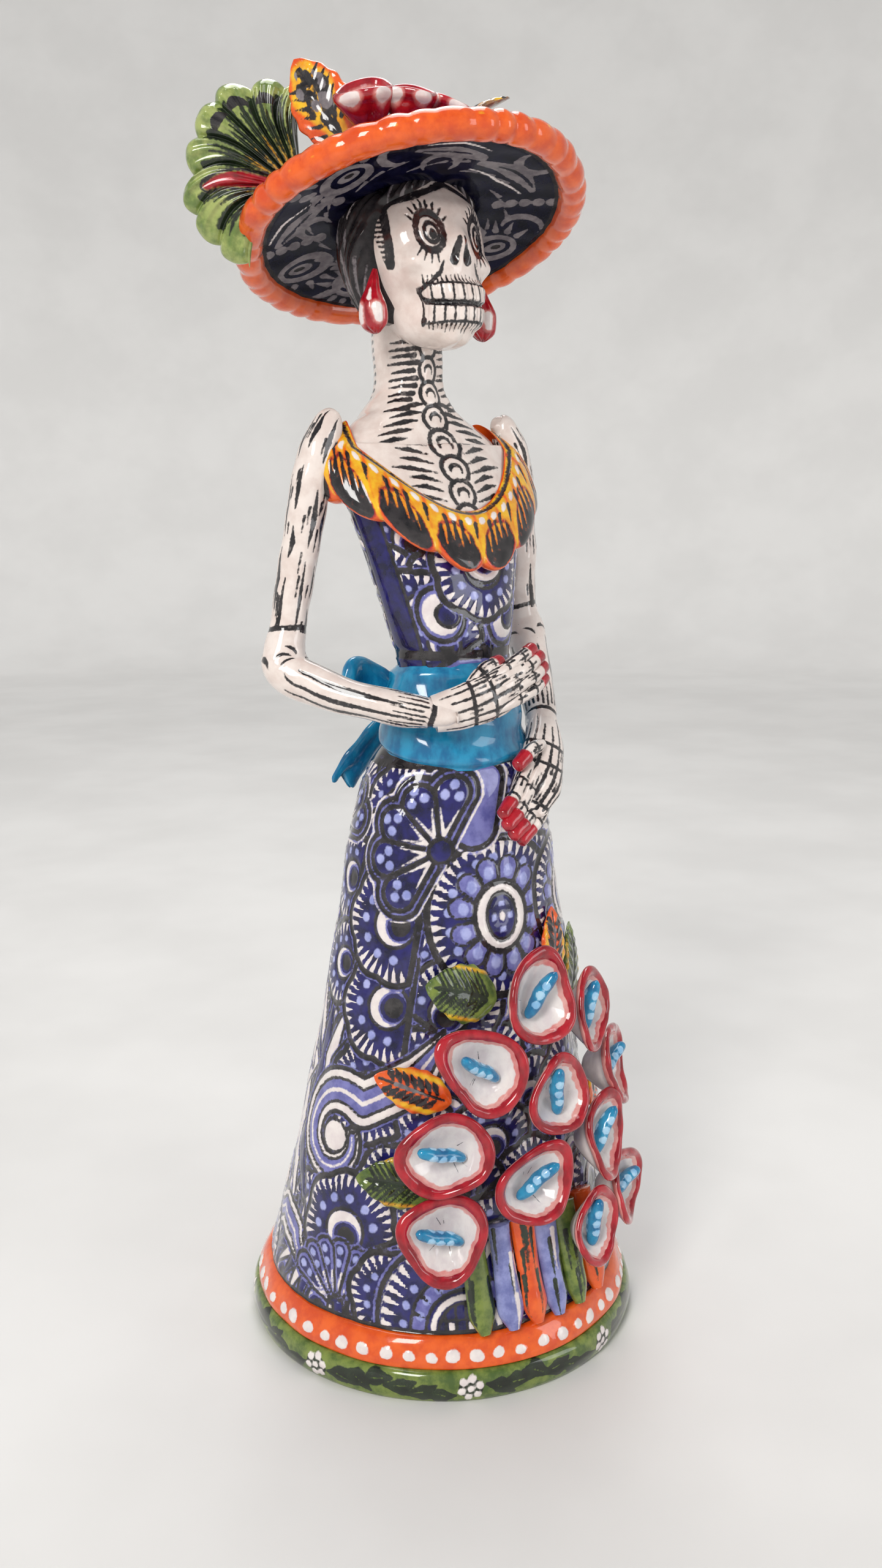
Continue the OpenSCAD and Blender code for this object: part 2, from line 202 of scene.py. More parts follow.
class Paint:
    """Distances, in mm, from points to each colour's painted area: below 0 is painted.
    u runs across the surface, times scale to give mm, and v runs up it in mm."""

    def __init__(self, u, v, colours, scale=1.0, period=None):
        self.u, self.v = np.asarray(u, float), np.asarray(v, float)
        self.scale, self.period = scale * np.ones_like(self.u), period
        self.layers = {colour: np.full(self.u.shape, FAR) for colour in colours}

    def at(self, cu, cv, reach, turn=0.0):
        """Which points lie within reach of a motif's centre, and their place from it."""
        du = self.u - cu
        if self.period:
            du = (du + self.period / 2) % self.period - self.period / 2
        x, y = du * self.scale, self.v - cv
        near = np.hypot(x, y) < reach
        c, s = math.cos(turn), math.sin(turn)
        return near, c * x[near] + s * y[near], c * y[near] - s * x[near]

    def add(self, colour, near, distance):
        layer = self.layers[colour]
        layer[near] = np.minimum(layer[near], distance)

    def clear(self, near, distance, colours=None):
        for colour in colours or self.layers:
            layer = self.layers[colour]
            layer[near] = np.maximum(layer[near], -distance)


def disc(x, y, cx, cy, r, stretch=1.0):
    return np.hypot(x - cx, (y - cy) / stretch) - r


def stroke(x, y, line, radii):
    """Brush stroke through the points of line, with the radius at each."""
    best = np.full(np.shape(x), FAR)
    for (ax, ay), (bx, by), ra, rb in zip(line[:-1], line[1:], radii[:-1], radii[1:]):
        dx, dy = bx - ax, by - ay
        length = dx * dx + dy * dy + 1e-9
        t = np.clip(((x - ax) * dx + (y - ay) * dy) / length, 0, 1)
        best = np.minimum(best, np.hypot(x - ax - t * dx, y - ay - t * dy) - (ra + (rb - ra) * t))
    return best


def petal(x, y, angle, inner, outer, half):
    """Teardrop that points out from the motif's centre, fat at its outer end."""
    c, s = math.cos(angle), math.sin(angle)
    tip = outer - half
    return stroke(x, y, [(c * inner, s * inner), (c * tip, s * tip)], [half * 0.25, half])


def shell(distance, half_width):
    """Line that follows the edge of an area."""
    return np.abs(distance) - half_width


def arc_points(cx, cy, r, start, end, count=9):
    return [(cx + r * math.cos(a), cy + r * math.sin(a)) for a in np.linspace(start, end, count)]


# ---- Materials ----

class Nodes:
    """A little shorthand for building shader graphs."""

    def __init__(self, name):
        self.material = bpy.data.materials.new(name)
        self.material.use_nodes = True
        self.tree = self.material.node_tree
        self.shader = self.tree.nodes["Principled BSDF"]
        coords = self.tree.nodes.new("ShaderNodeTexCoord")
        self.place = coords.outputs["Object"]

    def link(self, a, b):
        self.tree.links.new(a, b)

    def value(self, operation, *inputs):
        node = self.tree.nodes.new("ShaderNodeMath")
        node.operation = operation
        for k, given in enumerate(inputs):
            if isinstance(given, (int, float)):
                node.inputs[k].default_value = given
            else:
                self.link(given, node.inputs[k])
        return node.outputs[0]

    def noise(self, size_mm, detail=3.0, rough=0.55, squash=(1, 1, 1)):
        mapping = self.tree.nodes.new("ShaderNodeMapping")
        mapping.inputs["Scale"].default_value = squash
        self.link(self.place, mapping.inputs["Vector"])
        node = self.tree.nodes.new("ShaderNodeTexNoise")
        node.inputs["Scale"].default_value = 1 / (size_mm * MM)
        node.inputs["Detail"].default_value = detail
        node.inputs["Roughness"].default_value = rough
        self.link(mapping.outputs["Vector"], node.inputs["Vector"])
        return node.outputs["Fac"]

    def between(self, x, low, high, to_low=0.0, to_high=1.0):
        node = self.tree.nodes.new("ShaderNodeMapRange")
        node.interpolation_type = "SMOOTHSTEP"
        for socket, given in zip(("From Min", "From Max", "To Min", "To Max"), (low, high, to_low, to_high)):
            node.inputs[socket].default_value = given
        self.link(x, node.inputs["Value"])
        return node.outputs["Result"]

    def mix(self, factor, a, b):
        node = self.tree.nodes.new("ShaderNodeMix")
        node.data_type = "RGBA"
        for socket, given in ((node.inputs[0], factor), (node.inputs[6], a), (node.inputs[7], b)):
            if isinstance(given, (tuple, list)):
                socket.default_value = (*given, 1)
            elif isinstance(given, (int, float)):
                socket.default_value = given
            else:
                self.link(given, socket)
        return node.outputs[2]

    def attribute(self, name):
        node = self.tree.nodes.new("ShaderNodeAttribute")
        node.attribute_name = name
        return node.outputs["Fac"]


# Colours of the glazes, thin and thick: (where the brush ran thin, where it pooled)
BLACK = ((0.035, 0.03, 0.032), (0.006, 0.005, 0.007))
BONE = ((0.84, 0.75, 0.70), (0.74, 0.63, 0.58))
WHITE = ((0.86, 0.80, 0.77), (0.74, 0.66, 0.66))
NAVY = ((0.014, 0.012, 0.135), (0.003, 0.003, 0.032))
PERIWINKLE = ((0.20, 0.20, 0.50), (0.10, 0.10, 0.33))
LAVENDER = ((0.42, 0.45, 0.78), (0.25, 0.28, 0.60))
ORANGE = ((0.84, 0.125, 0.012), (0.68, 0.070, 0.008))
YELLOW = ((0.86, 0.52, 0.02), (0.78, 0.30, 0.01))
GREEN = ((0.20, 0.26, 0.05), (0.06, 0.11, 0.018))
PALE_GREEN = ((0.36, 0.42, 0.13), (0.13, 0.20, 0.045))
DARK_GREEN = ((0.020, 0.035, 0.014), (0.006, 0.010, 0.005))
RED = ((0.46, 0.010, 0.022), (0.24, 0.002, 0.010))
PINK = ((0.78, 0.40, 0.36), (0.68, 0.20, 0.19))
TURQUOISE = ((0.016, 0.28, 0.50), (0.004, 0.13, 0.30))
SKY = ((0.42, 0.68, 0.86), (0.20, 0.46, 0.74))
GREY = ((0.24, 0.215, 0.225), (0.12, 0.105, 0.12))
STEM_BLUE = ((0.28, 0.31, 0.60), (0.14, 0.16, 0.40))
BROWN = ((0.30, 0.16, 0.08), (0.12, 0.06, 0.03))
# Near-black ground of the brim's underside: its own dark glaze with painted shade in it
INK_AND_SHADE = ((0.006, 0.006, 0.024), (0.002, 0.002, 0.008))

# The colours that a brushed layer can have; the others are only grounds
ATTRIBUTE_COLOURS = {
    "black": BLACK, "bone": BONE, "white": WHITE, "grey": GREY, "navy": NAVY, "periwinkle": PERIWINKLE,
    "lavender": LAVENDER, "yellow": YELLOW, "dark_green": DARK_GREEN, "red": RED, "pink": PINK, "sky": SKY,
}
# How soft a brush edge is, in mm, for each colour
SOFTNESS = {"lavender": 0.22, "white": 0.16, "yellow": 0.45, "pink": 0.5, "red": 0.22}


def glaze(name, ground, layers=(), streak=(1, 1, 1), rough=0.13, shine=0.9):
    """Glossy painted ceramic: a ground colour, then brushed layers, then clear glaze."""
    n = Nodes(name)
    pool = n.noise(3.2, 4.0, 0.6, streak)
    ragged = n.value("MULTIPLY", n.value("SUBTRACT", n.noise(0.75, 2.0, 0.5), 0.5), 0.5)

    def tone(colour):
        return n.mix(n.between(pool, 0.34, 0.68), colour[0], colour[1])

    colour = tone(ground)
    outline = None
    for layer in layers:
        soft = SOFTNESS.get(layer, 0.12)
        edge = n.value("ADD", n.attribute(layer), ragged)
        cover = n.between(edge, soft, -soft)
        if layer == "black":
            # A loaded brush runs dry here and there along its stroke
            cover = n.value("MULTIPLY", cover, n.between(n.noise(1.6, 3.0, 0.6), 0.2, 0.42, 0.72, 1.0))
            outline = cover
        colour = n.mix(cover, colour, tone(ATTRIBUTE_COLOURS[layer]))
    # Iron specks and pinholes in the clear glaze
    specks = n.between(n.noise(0.55, 1.0, 0.4), 0.80, 0.86)
    colour = n.mix(n.value("MULTIPLY", specks, 0.55), colour, (0.12, 0.08, 0.06))
    n.link(colour, n.shader.inputs["Base Color"])
    rough_mix = n.between(n.noise(6.0, 3.0, 0.6), 0.3, 0.75, rough - 0.035, rough + 0.09)
    n.link(rough_mix, n.shader.inputs["Roughness"])
    height = n.value("ADD", n.value("MULTIPLY", n.noise(4.5, 2.0, 0.5), 0.8),
                     n.value("MULTIPLY", n.noise(1.1, 2.0), 0.16))
    if outline is not None:
        height = n.value("ADD", height, n.value("MULTIPLY", outline, 0.12))
    relief = n.tree.nodes.new("ShaderNodeBump")
    relief.inputs["Strength"].default_value = 0.35
    relief.inputs["Distance"].default_value = 0.35 * MM
    n.link(height, relief.inputs["Height"])
    n.link(relief.outputs["Normal"], n.shader.inputs["Normal"])
    n.shader.inputs["IOR"].default_value = 1.5
    n.shader.inputs["Specular IOR Level"].default_value = 0.24 * shine
    n.shader.inputs["Coat Weight"].default_value = shine
    n.shader.inputs["Coat Roughness"].default_value = 0.045
    return n.material


# ---- Outlines of the body, read from the CAD nodes ----

def profile(node):
    """Rows [z, centre y, half width, half depth] of a CAD node made of level rings."""
    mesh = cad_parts[node].data
    co = np.empty(len(mesh.vertices) * 3)
    mesh.vertices.foreach_get("co", co)
    co = co.reshape(-1, 3) / MM
    rows = []
    for z in np.unique(np.round(co[:, 2], 2)):
        ring = co[np.abs(co[:, 2] - z) < 0.02]
        rows.append([z, (ring[:, 1].max() + ring[:, 1].min()) / 2, ring[:, 0].max(), np.ptp(ring[:, 1]) / 2])
    return np.array(rows)


def softened(rows, count):
    """The profile at even heights, with its small kinks smoothed away."""
    z = np.linspace(rows[0, 0], rows[-1, 0], count)
    columns = range(1, rows.shape[1])
    out = np.column_stack([z] + [np.interp(z, rows[:, 0], rows[:, k]) for k in columns])
    width = max(3, count // 24)
    kernel = np.hanning(width + 2)[1:-1]
    for k in columns:
        padded = np.pad(out[:, k], width, mode="reflect", reflect_type="odd")
        out[:, k] = np.convolve(padded, kernel / kernel.sum(), "same")[width:-width]
    return out


def ovals(rows, cols, grow=0.0):
    """Grid of points of level ovals. Angle 0 is the front and turns towards her left."""
    angle = np.linspace(-math.pi, math.pi, cols, endpoint=False)
    rx, ry = rows[:, 2, None] + grow, rows[:, 3, None] + grow
    x = rx * np.sin(angle)
    y = rows[:, 1, None] - ry * np.cos(angle)
    z = np.repeat(rows[:, 0, None], cols, 1)
    return np.stack([x, y, z], -1), np.repeat(angle[None], len(rows), 0)


SKIRT = profile("skirt")
BODICE = profile("bodice")


# ---- Painted motifs ----

BLUES = ("periwinkle", "navy", "white", "lavender", "black")


def dot_arc(paint, near, x, y, r, start, end, count, size, colour="lavender"):
    for a in np.linspace(start, end, count):
        paint.add(colour, near, disc(x, y, r * math.cos(a), r * math.sin(a), size))


def teeth(x, y, outer, length, count, start=-TAU, end=TAU):
    """White brush wedges that point in from a round edge."""
    radius, angle = np.hypot(x, y), np.arctan2(y, x)
    share = np.abs((angle * count / TAU) % 1 - 0.5) * 2
    reach = length * (0.75 + 0.25 * np.sin(angle * 5.3)) * np.sqrt(np.clip(1 - share / 0.66, 0, 1))
    wedge = np.maximum(outer - reach - radius, radius - outer)
    wedge = np.maximum(wedge, (share - 0.66) * outer * math.pi / count)
    return np.maximum(wedge, np.maximum(start - angle, angle - end)) * 0.6


def fan(paint, cu, cv, r, turn=0.0, full=False):
    """Overlapping scale: a navy fan with a comb of white wedges, pale dots and a moon."""
    near, x, y = paint.at(cu, cv, r + 2.0, turn)
    radius, angle = np.hypot(x, y), np.arctan2(y, x)
    round_edge = radius - r * (0.93 + 0.085 * np.abs(np.sin(angle * 3.5 + cu * 7)))
    edge = round_edge if full else np.maximum(round_edge, -y - r * 0.42)
    paint.clear(near, edge - 0.9)
    paint.add("navy", near, edge + 0.6)
    paint.add("white", near, np.maximum(teeth(x, y, r * 0.96, r * 0.38, int(r * 3)), edge + 0.6))
    paint.add("black", near, shell(edge, 0.68))
    low, high = (0, TAU * 0.93) if full else (-0.15, math.pi + 0.15)
    dot_arc(paint, near, x, y, r * 0.58, low, high, int(7 if not full else 12), r * 0.078)
    moon(paint, near, x, y, r * 0.36)


def moon(paint, near, x, y, r):
    """Navy eye inside a white crescent, each lined in black."""
    ring = disc(x, y, 0, 0, r + 0.35)
    inner = disc(x, y, 0, -r * 0.3, r * 0.72)
    paint.clear(near, ring)
    paint.add("black", near, shell(ring + 0.1, 0.4))
    paint.add("white", near, np.maximum(ring + 0.5, -inner + 0.3))
    paint.add("navy", near, inner + 0.1)
    paint.add("black", near, disc(x, y, 0, -r * 0.3, r * 0.5))


def window(paint, cu, cv, r, turn=0.0):
    """Great flower: a barred pane in a white ring, arches, rows of dots and a fringe."""
    near, x, y = paint.at(cu, cv, r + 2.2, turn)
    tall = 1.16
    edge = disc(x, y, 0, 0, r * 0.94, 1.06)
    paint.clear(near, edge - 1.0)
    paint.add("navy", near, edge + 0.6)
    paint.add("white", near, teeth(x, y / 1.06, r * 0.93, r * 0.27, 44))
    paint.add("black", near, shell(edge - 0.1, 0.75))
    for k in range(19):
        a = TAU * k / 19
        paint.add("lavender", near, disc(x, y, r * 0.68 * math.cos(a), r * 0.76 * math.sin(a), r * 0.06))
    petals = 12
    for k in range(petals):
        a = TAU * (k + 0.5) / petals
        px, py = r * 0.49 * math.cos(a), r * 0.49 * tall * math.sin(a)
        bead = stroke(x, y, [(px * 0.9, py * 0.9), (px * 1.13, py * 1.13)], [r * 0.1, r * 0.125])
        paint.clear(near, bead - 0.2)
        paint.add("black", near, shell(bead - 0.1, 0.3))
        paint.add("lavender", near, disc(x, y, px * 1.03, py * 1.03, r * 0.065, 1.25))
    ring = disc(x, y, 0, 0, r * 0.345, tall * 1.08)
    pane = disc(x, y, 0, 0, r * 0.2, 1.5)
    paint.clear(near, ring - 0.2)
    paint.add("white", near, np.maximum(ring, -pane))
    paint.add("black", near, shell(ring - 0.2, 0.55))
    paint.add("navy", near, pane)
    paint.add("black", near, shell(pane, 0.35))
    cell = r * 0.11
    paint.add("lavender", near,
              np.maximum(np.abs(np.abs(y) - cell * 1.5) - cell * 0.3, np.abs(x) - cell * 0.35))
    paint.add("lavender", near, np.maximum(np.abs(y) - cell * 0.35, np.abs(np.abs(x) - cell) - cell * 0.3))
    paint.add("white", near, disc(x, y, 0, 0, cell * 0.35, 1.5))


def fan_flower(paint, cu, cv, r, angles):
    """Open petals, each a navy drop with pale dots and white rays, on a periwinkle margin."""
    near, x, y = paint.at(cu, cv, r + 3.2)
    half = r * 0.235
    angles = [math.radians(a) for a in angles]
    shapes = [petal(x, y, a, r * 0.18, r * (0.97 + 0.05 * math.sin(5 * k)), half)
              for k, a in enumerate(angles)]
    margin = np.minimum.reduce(shapes) - 1.5
    paint.clear(near, margin - 1.0)
    paint.add("white", near, shell(margin - 0.9, 0.22))
    paint.add("black", near, shell(margin, 0.55))
    for k, (shape, a) in enumerate(zip(shapes, angles)):
        c, s = math.cos(a), math.sin(a)
        paint.clear(near, shape)
        paint.add("navy", near, shape + 0.5)
        for side in (-0.55, 0.5):
            end = (c * r * 0.55 - side * s * half, s * r * 0.55 + side * c * half)
            ray = stroke(x, y, [(c * r * 0.2, s * r * 0.2), end], [0.42, 0.12])
            paint.add("white", near, np.maximum(ray, shape + 0.4))
        for side, out in ((-0.4, 0.72), (0.4, 0.72), (0.0, 0.86)):
            px, py = c * r * out - side * s * half, s * r * out + side * c * half
            paint.add("lavender", near, disc(x, y, px, py, half * 0.27))
        paint.add("black", near, shell(shape, 0.55))
    heart = disc(x, y, 0, 0, r * 0.16)
    paint.clear(near, heart - 0.4)
    paint.add("navy", near, heart)
    paint.add("black", near, shell(heart, 0.45))


def scroll(paint, cu, cv, r, turn=0.0, flip=1):
    """Great curl of nested white and periwinkle bands that winds in to a dark eye."""
    near, x, y = paint.at(cu, cv, r * 2.9, turn)
    x = x * flip
    a = np.linspace(-0.4, TAU * 0.82, 24)
    share = (a - a[0]) / (a[-1] - a[0])
    radius = r * (0.42 + 0.5 * share)
    line = list(zip(radius * np.cos(a), radius * np.sin(a))) + [(r * 1.15, -r * 1.55), (r * 1.5, -r * 2.6)]
    widths = list(r * (0.16 + 0.26 * share)) + [r * 0.42, r * 0.06]
    band = stroke(x, y, line, widths)
    paint.clear(near, band - 1.0)
    paint.add("black", near, shell(band - 0.2, 0.5))
    paint.add("white", near, band + 0.2)
    stripe = stroke(x, y, line, [w * 0.55 for w in widths])
    paint.clear(near, stripe)
    paint.add("black", near, np.maximum(shell(stripe, 0.34), band))
    paint.add("white", near, stroke(x, y, line, [w * 0.1 for w in widths]))
    eye = disc(x, y, 0, 0, r * 0.3)
    paint.clear(near, eye)
    paint.add("white", near, eye + 0.2)
    paint.add("navy", near, disc(x, y, -r * 0.06, r * 0.1, r * 0.14))
    paint.add("black", near, shell(eye, 0.35))


def flames(paint, cu, cv, r, turn=0.0, count=4):
    """Long thin leaves side by side, white and periwinkle, lined in black."""
    near, x, y = paint.at(cu, cv, r + 1.5, turn)
    for k in range(count):
        t = (k - (count - 1) / 2) * r * 0.34
        path = [(t * 1.2, -r * 0.9), (t * 0.6 + r * 0.1, 0), (t * 1.3 - r * 0.1, r * 0.9)]
        leaf = stroke(x, y, path, [r * 0.05, r * 0.17, r * 0.04])
        paint.clear(near, leaf - 0.5)
        paint.add("black", near, shell(leaf, 0.35))
        paint.add("white" if k % 2 else "navy", near, leaf + 0.35)


def wheel(paint, cu, cv, r, turn=0.0):
    """Half wheel: a barred pane, a white arch, boxed dots and a fringe of wedges."""
    near, x, y = paint.at(cu, cv, r + 2, turn)
    radius, angle = np.hypot(x, y), np.arctan2(y, x)
    flat = -y - 0.2
    edge = np.maximum(radius - r, flat)
    paint.clear(near, edge - 1.0)
    paint.add("navy", near, edge + 0.5)
    paint.add("white", near, np.maximum(teeth(x, y, r - 0.8, r * 0.24, 44), flat))
    paint.add("black", near, np.maximum(shell(radius - r, 0.55), flat))
    dot_arc(paint, near, x, y, r * 0.7, 0.12, math.pi - 0.12, 11, r * 0.045)
    band = np.abs(radius - r * 0.53) - r * 0.085
    paint.clear(near, band)
    paint.add("black", near, np.maximum(shell(band, 0.35), flat))
    spokes = np.abs((angle * 9 / math.pi) % 1 - 0.5) * radius * math.pi / 9
    paint.add("black", near, np.maximum(np.maximum(r * 0.53 * math.pi / 18 - 0.3 - spokes, band), flat))
    dot_arc(paint, near, x, y, r * 0.53, math.pi / 9, math.pi * 8 / 9, 8, r * 0.05)
    inner = np.maximum(radius - r * 0.4, flat)
    paint.clear(near, inner, ("lavender", "white"))
    paint.add("white", near, np.maximum(shell(radius - r * 0.37, r * 0.028), flat))
    paint.add("black", near, np.maximum(shell(radius - r * 0.31, 0.3), flat))
    step = r * 0.11
    bars = np.abs(((x / step + 0.5) % 1) - 0.5) * step - 0.28
    paint.add("black", near, np.maximum(bars, np.maximum(radius - r * 0.3, flat)))
    tiles = np.maximum(np.abs((x / (2 * step)) % 1 - 0.25) * 2 * step - step * 0.3,
                       np.abs(y - r * 0.07) - r * 0.045)
    paint.add("white", near, np.maximum(tiles, radius - r * 0.28))
    paint.add("black", near, np.maximum(np.abs(y - r * 0.14) - 0.25, radius - r * 0.3))


def drops(paint, cu, cv, r, turn=0.0, count=5):
    """Sheaf of long drops, each with pale dots, tied at its foot."""
    near, x, y = paint.at(cu, cv, r + 1.8, turn)
    for k in range(count):
        a = math.pi / 2 + (k - (count - 1) / 2) * 0.36
        drop = petal(x, y, a, r * 0.2, r, r * 0.17)
        paint.clear(near, drop - 0.9)
        paint.add("black", near, shell(drop - 0.1, 0.4))
        paint.add("navy", near, drop + 0.9)
        c, s = math.cos(a), math.sin(a)
        for share in (0.66, 0.84):
            paint.add("lavender", near, disc(x, y, c * r * share, s * r * share, r * 0.06))
        for side in (-0.07, 0.07):
            ray = [(c * r * 0.18, s * r * 0.18), (c * r * 0.52 - side * s * r, s * r * 0.52 + side * c * r)]
            paint.add("white", near, stroke(x, y, ray, [0.18, 0.32]))
    knot = disc(x, y, 0, 0, r * 0.15)
    paint.add("navy", near, knot)
    paint.add("black", near, shell(knot, 0.4))


def scales(paint, low, high, r, radius_at, seed):
    """Rows of fans all the way round a piece, from the top down."""
    random = rng(seed)
    z = high
    row = 0
    while z > low:
        count = max(5, int(round(TAU * radius_at(z) / (r * 1.6))))
        for k in range(count):
            a = TAU * (k + 0.5 * (row % 2) + random.uniform(-0.12, 0.12)) / count
            lean = random.uniform(-0.75, 0.75)
            fan(paint, a, z + random.uniform(-1.2, 1.2), r * random.uniform(0.9, 1.12), lean)
        z -= r * 0.92
        row += 1


def relief(paint, lines=0.2, pads=0.12):
    """Height of the paint in mm: outlines sink a little and the colours stand proud."""
    black = paint.layers.get("black")
    height = -lines * smooth(0.25, -0.15, black)
    for colour in ("white", "lavender"):
        if colour in paint.layers:
            height = height + pads * smooth(0.1, -0.5, paint.layers[colour]) * smooth(-0.1, 0.4, black)
    return height


# ---- Skirt, hem and foot ----

def make_skirt():
    rows, cols = 216, 460
    shape = softened(SKIRT, rows)
    points, angle = ovals(shape, cols)
    reach = np.repeat(((shape[:, 2] + shape[:, 3]) / 2)[:, None], cols, 1)
    paint = Paint(angle, points[..., 2], BLUES, scale=reach, period=TAU)
    deg = math.radians
    scales(paint, 12, 128, 9.5, lambda z: np.interp(z, shape[:, 0], (shape[:, 2] + shape[:, 3]) / 2), 4)
    # Her right side, which the photograph shows: [angle, height, size, turn]
    for a, z, size, turn in ((-118, 44, 15, 0.1), (-100, 66, 14, -0.25), (-128, 70, 13, 0.3),
                             (-93, 22, 10, -0.5)):
        flames(paint, deg(a), z, size, turn, 5)
    for a, z, size, turn in ((-96, 104, 9.5, 1.5), (-92, 86, 9, 1.7), (-31, 78, 11, -0.6),
                             (-66, 61, 11, 1.9)):
        fan(paint, deg(a), z, size, turn)
    for a, z, size, turn in ((-60, 79, 12, 1.5), (-59, 96, 12.5, 1.45)):
        fan(paint, deg(a), z, size, turn)
    window(paint, deg(-4), 96.5, 16.2)
    near, x, y = paint.at(deg(-13), 119, 16, -0.25)
    patch = stroke(x, y, [(0.6, 6), (-0.4, -3.5)], [3.4, 4.6])
    paint.clear(near, patch - 1.2)
    paint.add("white", near, shell(patch - 1.0, 0.24))
    paint.add("black", near, shell(patch - 0.1, 0.6))
    fan_flower(paint, deg(-35), 111, 15.6, (80, 116, 152, 188, 224))
    for a, z, size, turn, flip in ((-81, 50, 11.5, 2.9, -1), (-121, 32, 8.6, 0.5, 1),
                                   (-143, 58, 9, -0.3, -1)):
        scroll(paint, deg(a), z, size, turn, flip)
    fan(paint, deg(-71), 31, 12.5, 0.45)
    drops(paint, deg(-72), 14.5, 14.5, 0.35, 5)
    fan(paint, deg(-52), 19, 10, 0.7)
    wheel(paint, deg(-29), 13.2, 19)
    # Under and beside the bouquet
    fan(paint, deg(4), 14, 13, 0.1)
    window(paint, deg(52), 96, 14.5)
    wheel(paint, deg(48), 13.2, 16)
    # Her back and left side, in the same manner
    for a, z, size in ((88, 113, 13.0), (178, 112, 13.5), (-122, 113, 12.0)):
        fan_flower(paint, deg(a), z, size, (20, 55, 90, 125, 160))
    for a, z, size in ((112, 86, 15), (-162, 84, 15.5), (160, 45, 16)):
        window(paint, deg(a), z, size)
    for a, z, size, turn, flip in ((76, 60, 7.6, 0.3, 1), (-168, 54, 7.5, 0.2, -1), (124, 60, 7.0, -0.3, 1)):
        scroll(paint, deg(a), z, size, turn, flip)
    for a, z, size, turn in ((94, 44, 12, 0.4), (-142, 30, 11, 0), (118, 28, 11, -0.4)):
        drops(paint, deg(a), z, size, turn, 5)
    for a, size in ((88, 15), (135, 15), (-178, 16), (-132, 15)):
        wheel(paint, deg(a), 13.2, size)
    hem = paint.v - shape[0, 0]
    paint.layers["black"] = np.minimum(paint.layers["black"], hem - 0.9)
    paint.layers["black"] = np.minimum(paint.layers["black"], 127.2 - paint.v)
    normal = outward_normals(points)
    lump = wobble(points, 26, 0.3, 11) + wobble(points, 7, 0.1, 12)
    points = points + normal * (relief(paint) + lump - 0.25)[..., None]
    faces = grid_faces(rows, cols, wrap_cols=True)
    colour = glaze("skirt_paint", PERIWINKLE, ("navy", "white", "lavender", "black"))
    layers = {k: v for k, v in paint.layers.items() if k != "periwinkle"}
    piece("skirt_shell", points, faces, colour, ["skirt"], layers, tube_caps(rows, cols))


def band_grid(node, section, cols):
    """Oval band: a closed section of [inset from the node's own outline, height] swept round."""
    low, high = (np.array(c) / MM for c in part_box(node))
    half = (high - low)[:2] / 2
    angle = np.linspace(-math.pi, math.pi, cols, endpoint=False)
    section = np.array(section, float)
    rx, ry = half[0] + section[:, 0, None], half[1] + section[:, 0, None]
    z = np.repeat(low[2] + section[:, 1, None] * (high[2] - low[2]), cols, 1)
    return np.stack([rx * np.sin(angle), -ry * np.cos(angle), z], -1), np.repeat(angle[None], len(section), 0)


def rounded(section, count):
    """A closed section resampled as a smooth loop."""
    section = np.array(section, float)
    n, fine = len(section), 16
    curve = spline(np.vstack([section[-1:], section, section[:2]]),
                   (n + 2) * fine + 1)[fine:fine + n * fine + 1]
    at = np.linspace(0, n * fine, count, endpoint=False)
    return np.column_stack([np.interp(at, np.arange(n * fine + 1), curve[:, k])
                            for k in range(section.shape[1])])


def make_hem_band():
    outline = [(-0.5, 0.02), (-0.05, 0.2), (-0.5, 0.45), (-1.5, 0.8), (-2.8, 0.99), (-4.6, 0.97),
               (-5.6, 0.5), (-4, 0.03)]
    section = rounded(outline, 60)
    points, angle = band_grid("hem_band", section, 420)
    along = np.arange(60)[:, None] * np.ones((1, 420)) * 0.42
    middle = 60 * 0.42 * 0.245
    paint = Paint(angle, along, ("white", "black"), scale=41.0, period=TAU)
    r = rng(9)
    dots = 54
    for k in range(dots):
        a = TAU * (k + r.uniform(-0.12, 0.12)) / dots
        near, x, y = paint.at(a, middle + r.uniform(-0.3, 0.3), 4, r.uniform(-0.25, 0.25))
        paint.add("white", near, disc(x, y, 0, 0, r.uniform(1.15, 1.55), r.uniform(1.2, 1.5)))
    paint.layers["black"] = np.minimum(paint.layers["black"], np.abs(along - 0.2) - 0.3)
    outside = np.stack([np.sin(angle), -np.cos(angle), 0.5 * np.ones_like(angle)], -1)
    dot_height = 0.22 * smooth(0.25, -0.5, paint.layers["white"])
    points = points + outside * (dot_height + wobble(points, 16, 0.22, 21) - 0.35)[..., None]
    faces = grid_faces(60, 420, wrap_rows=True, wrap_cols=True)
    colour = glaze("hem_paint", ORANGE, ("white", "black"))
    piece("hem_ring", points, faces, colour, ["hem_band"], paint.layers)


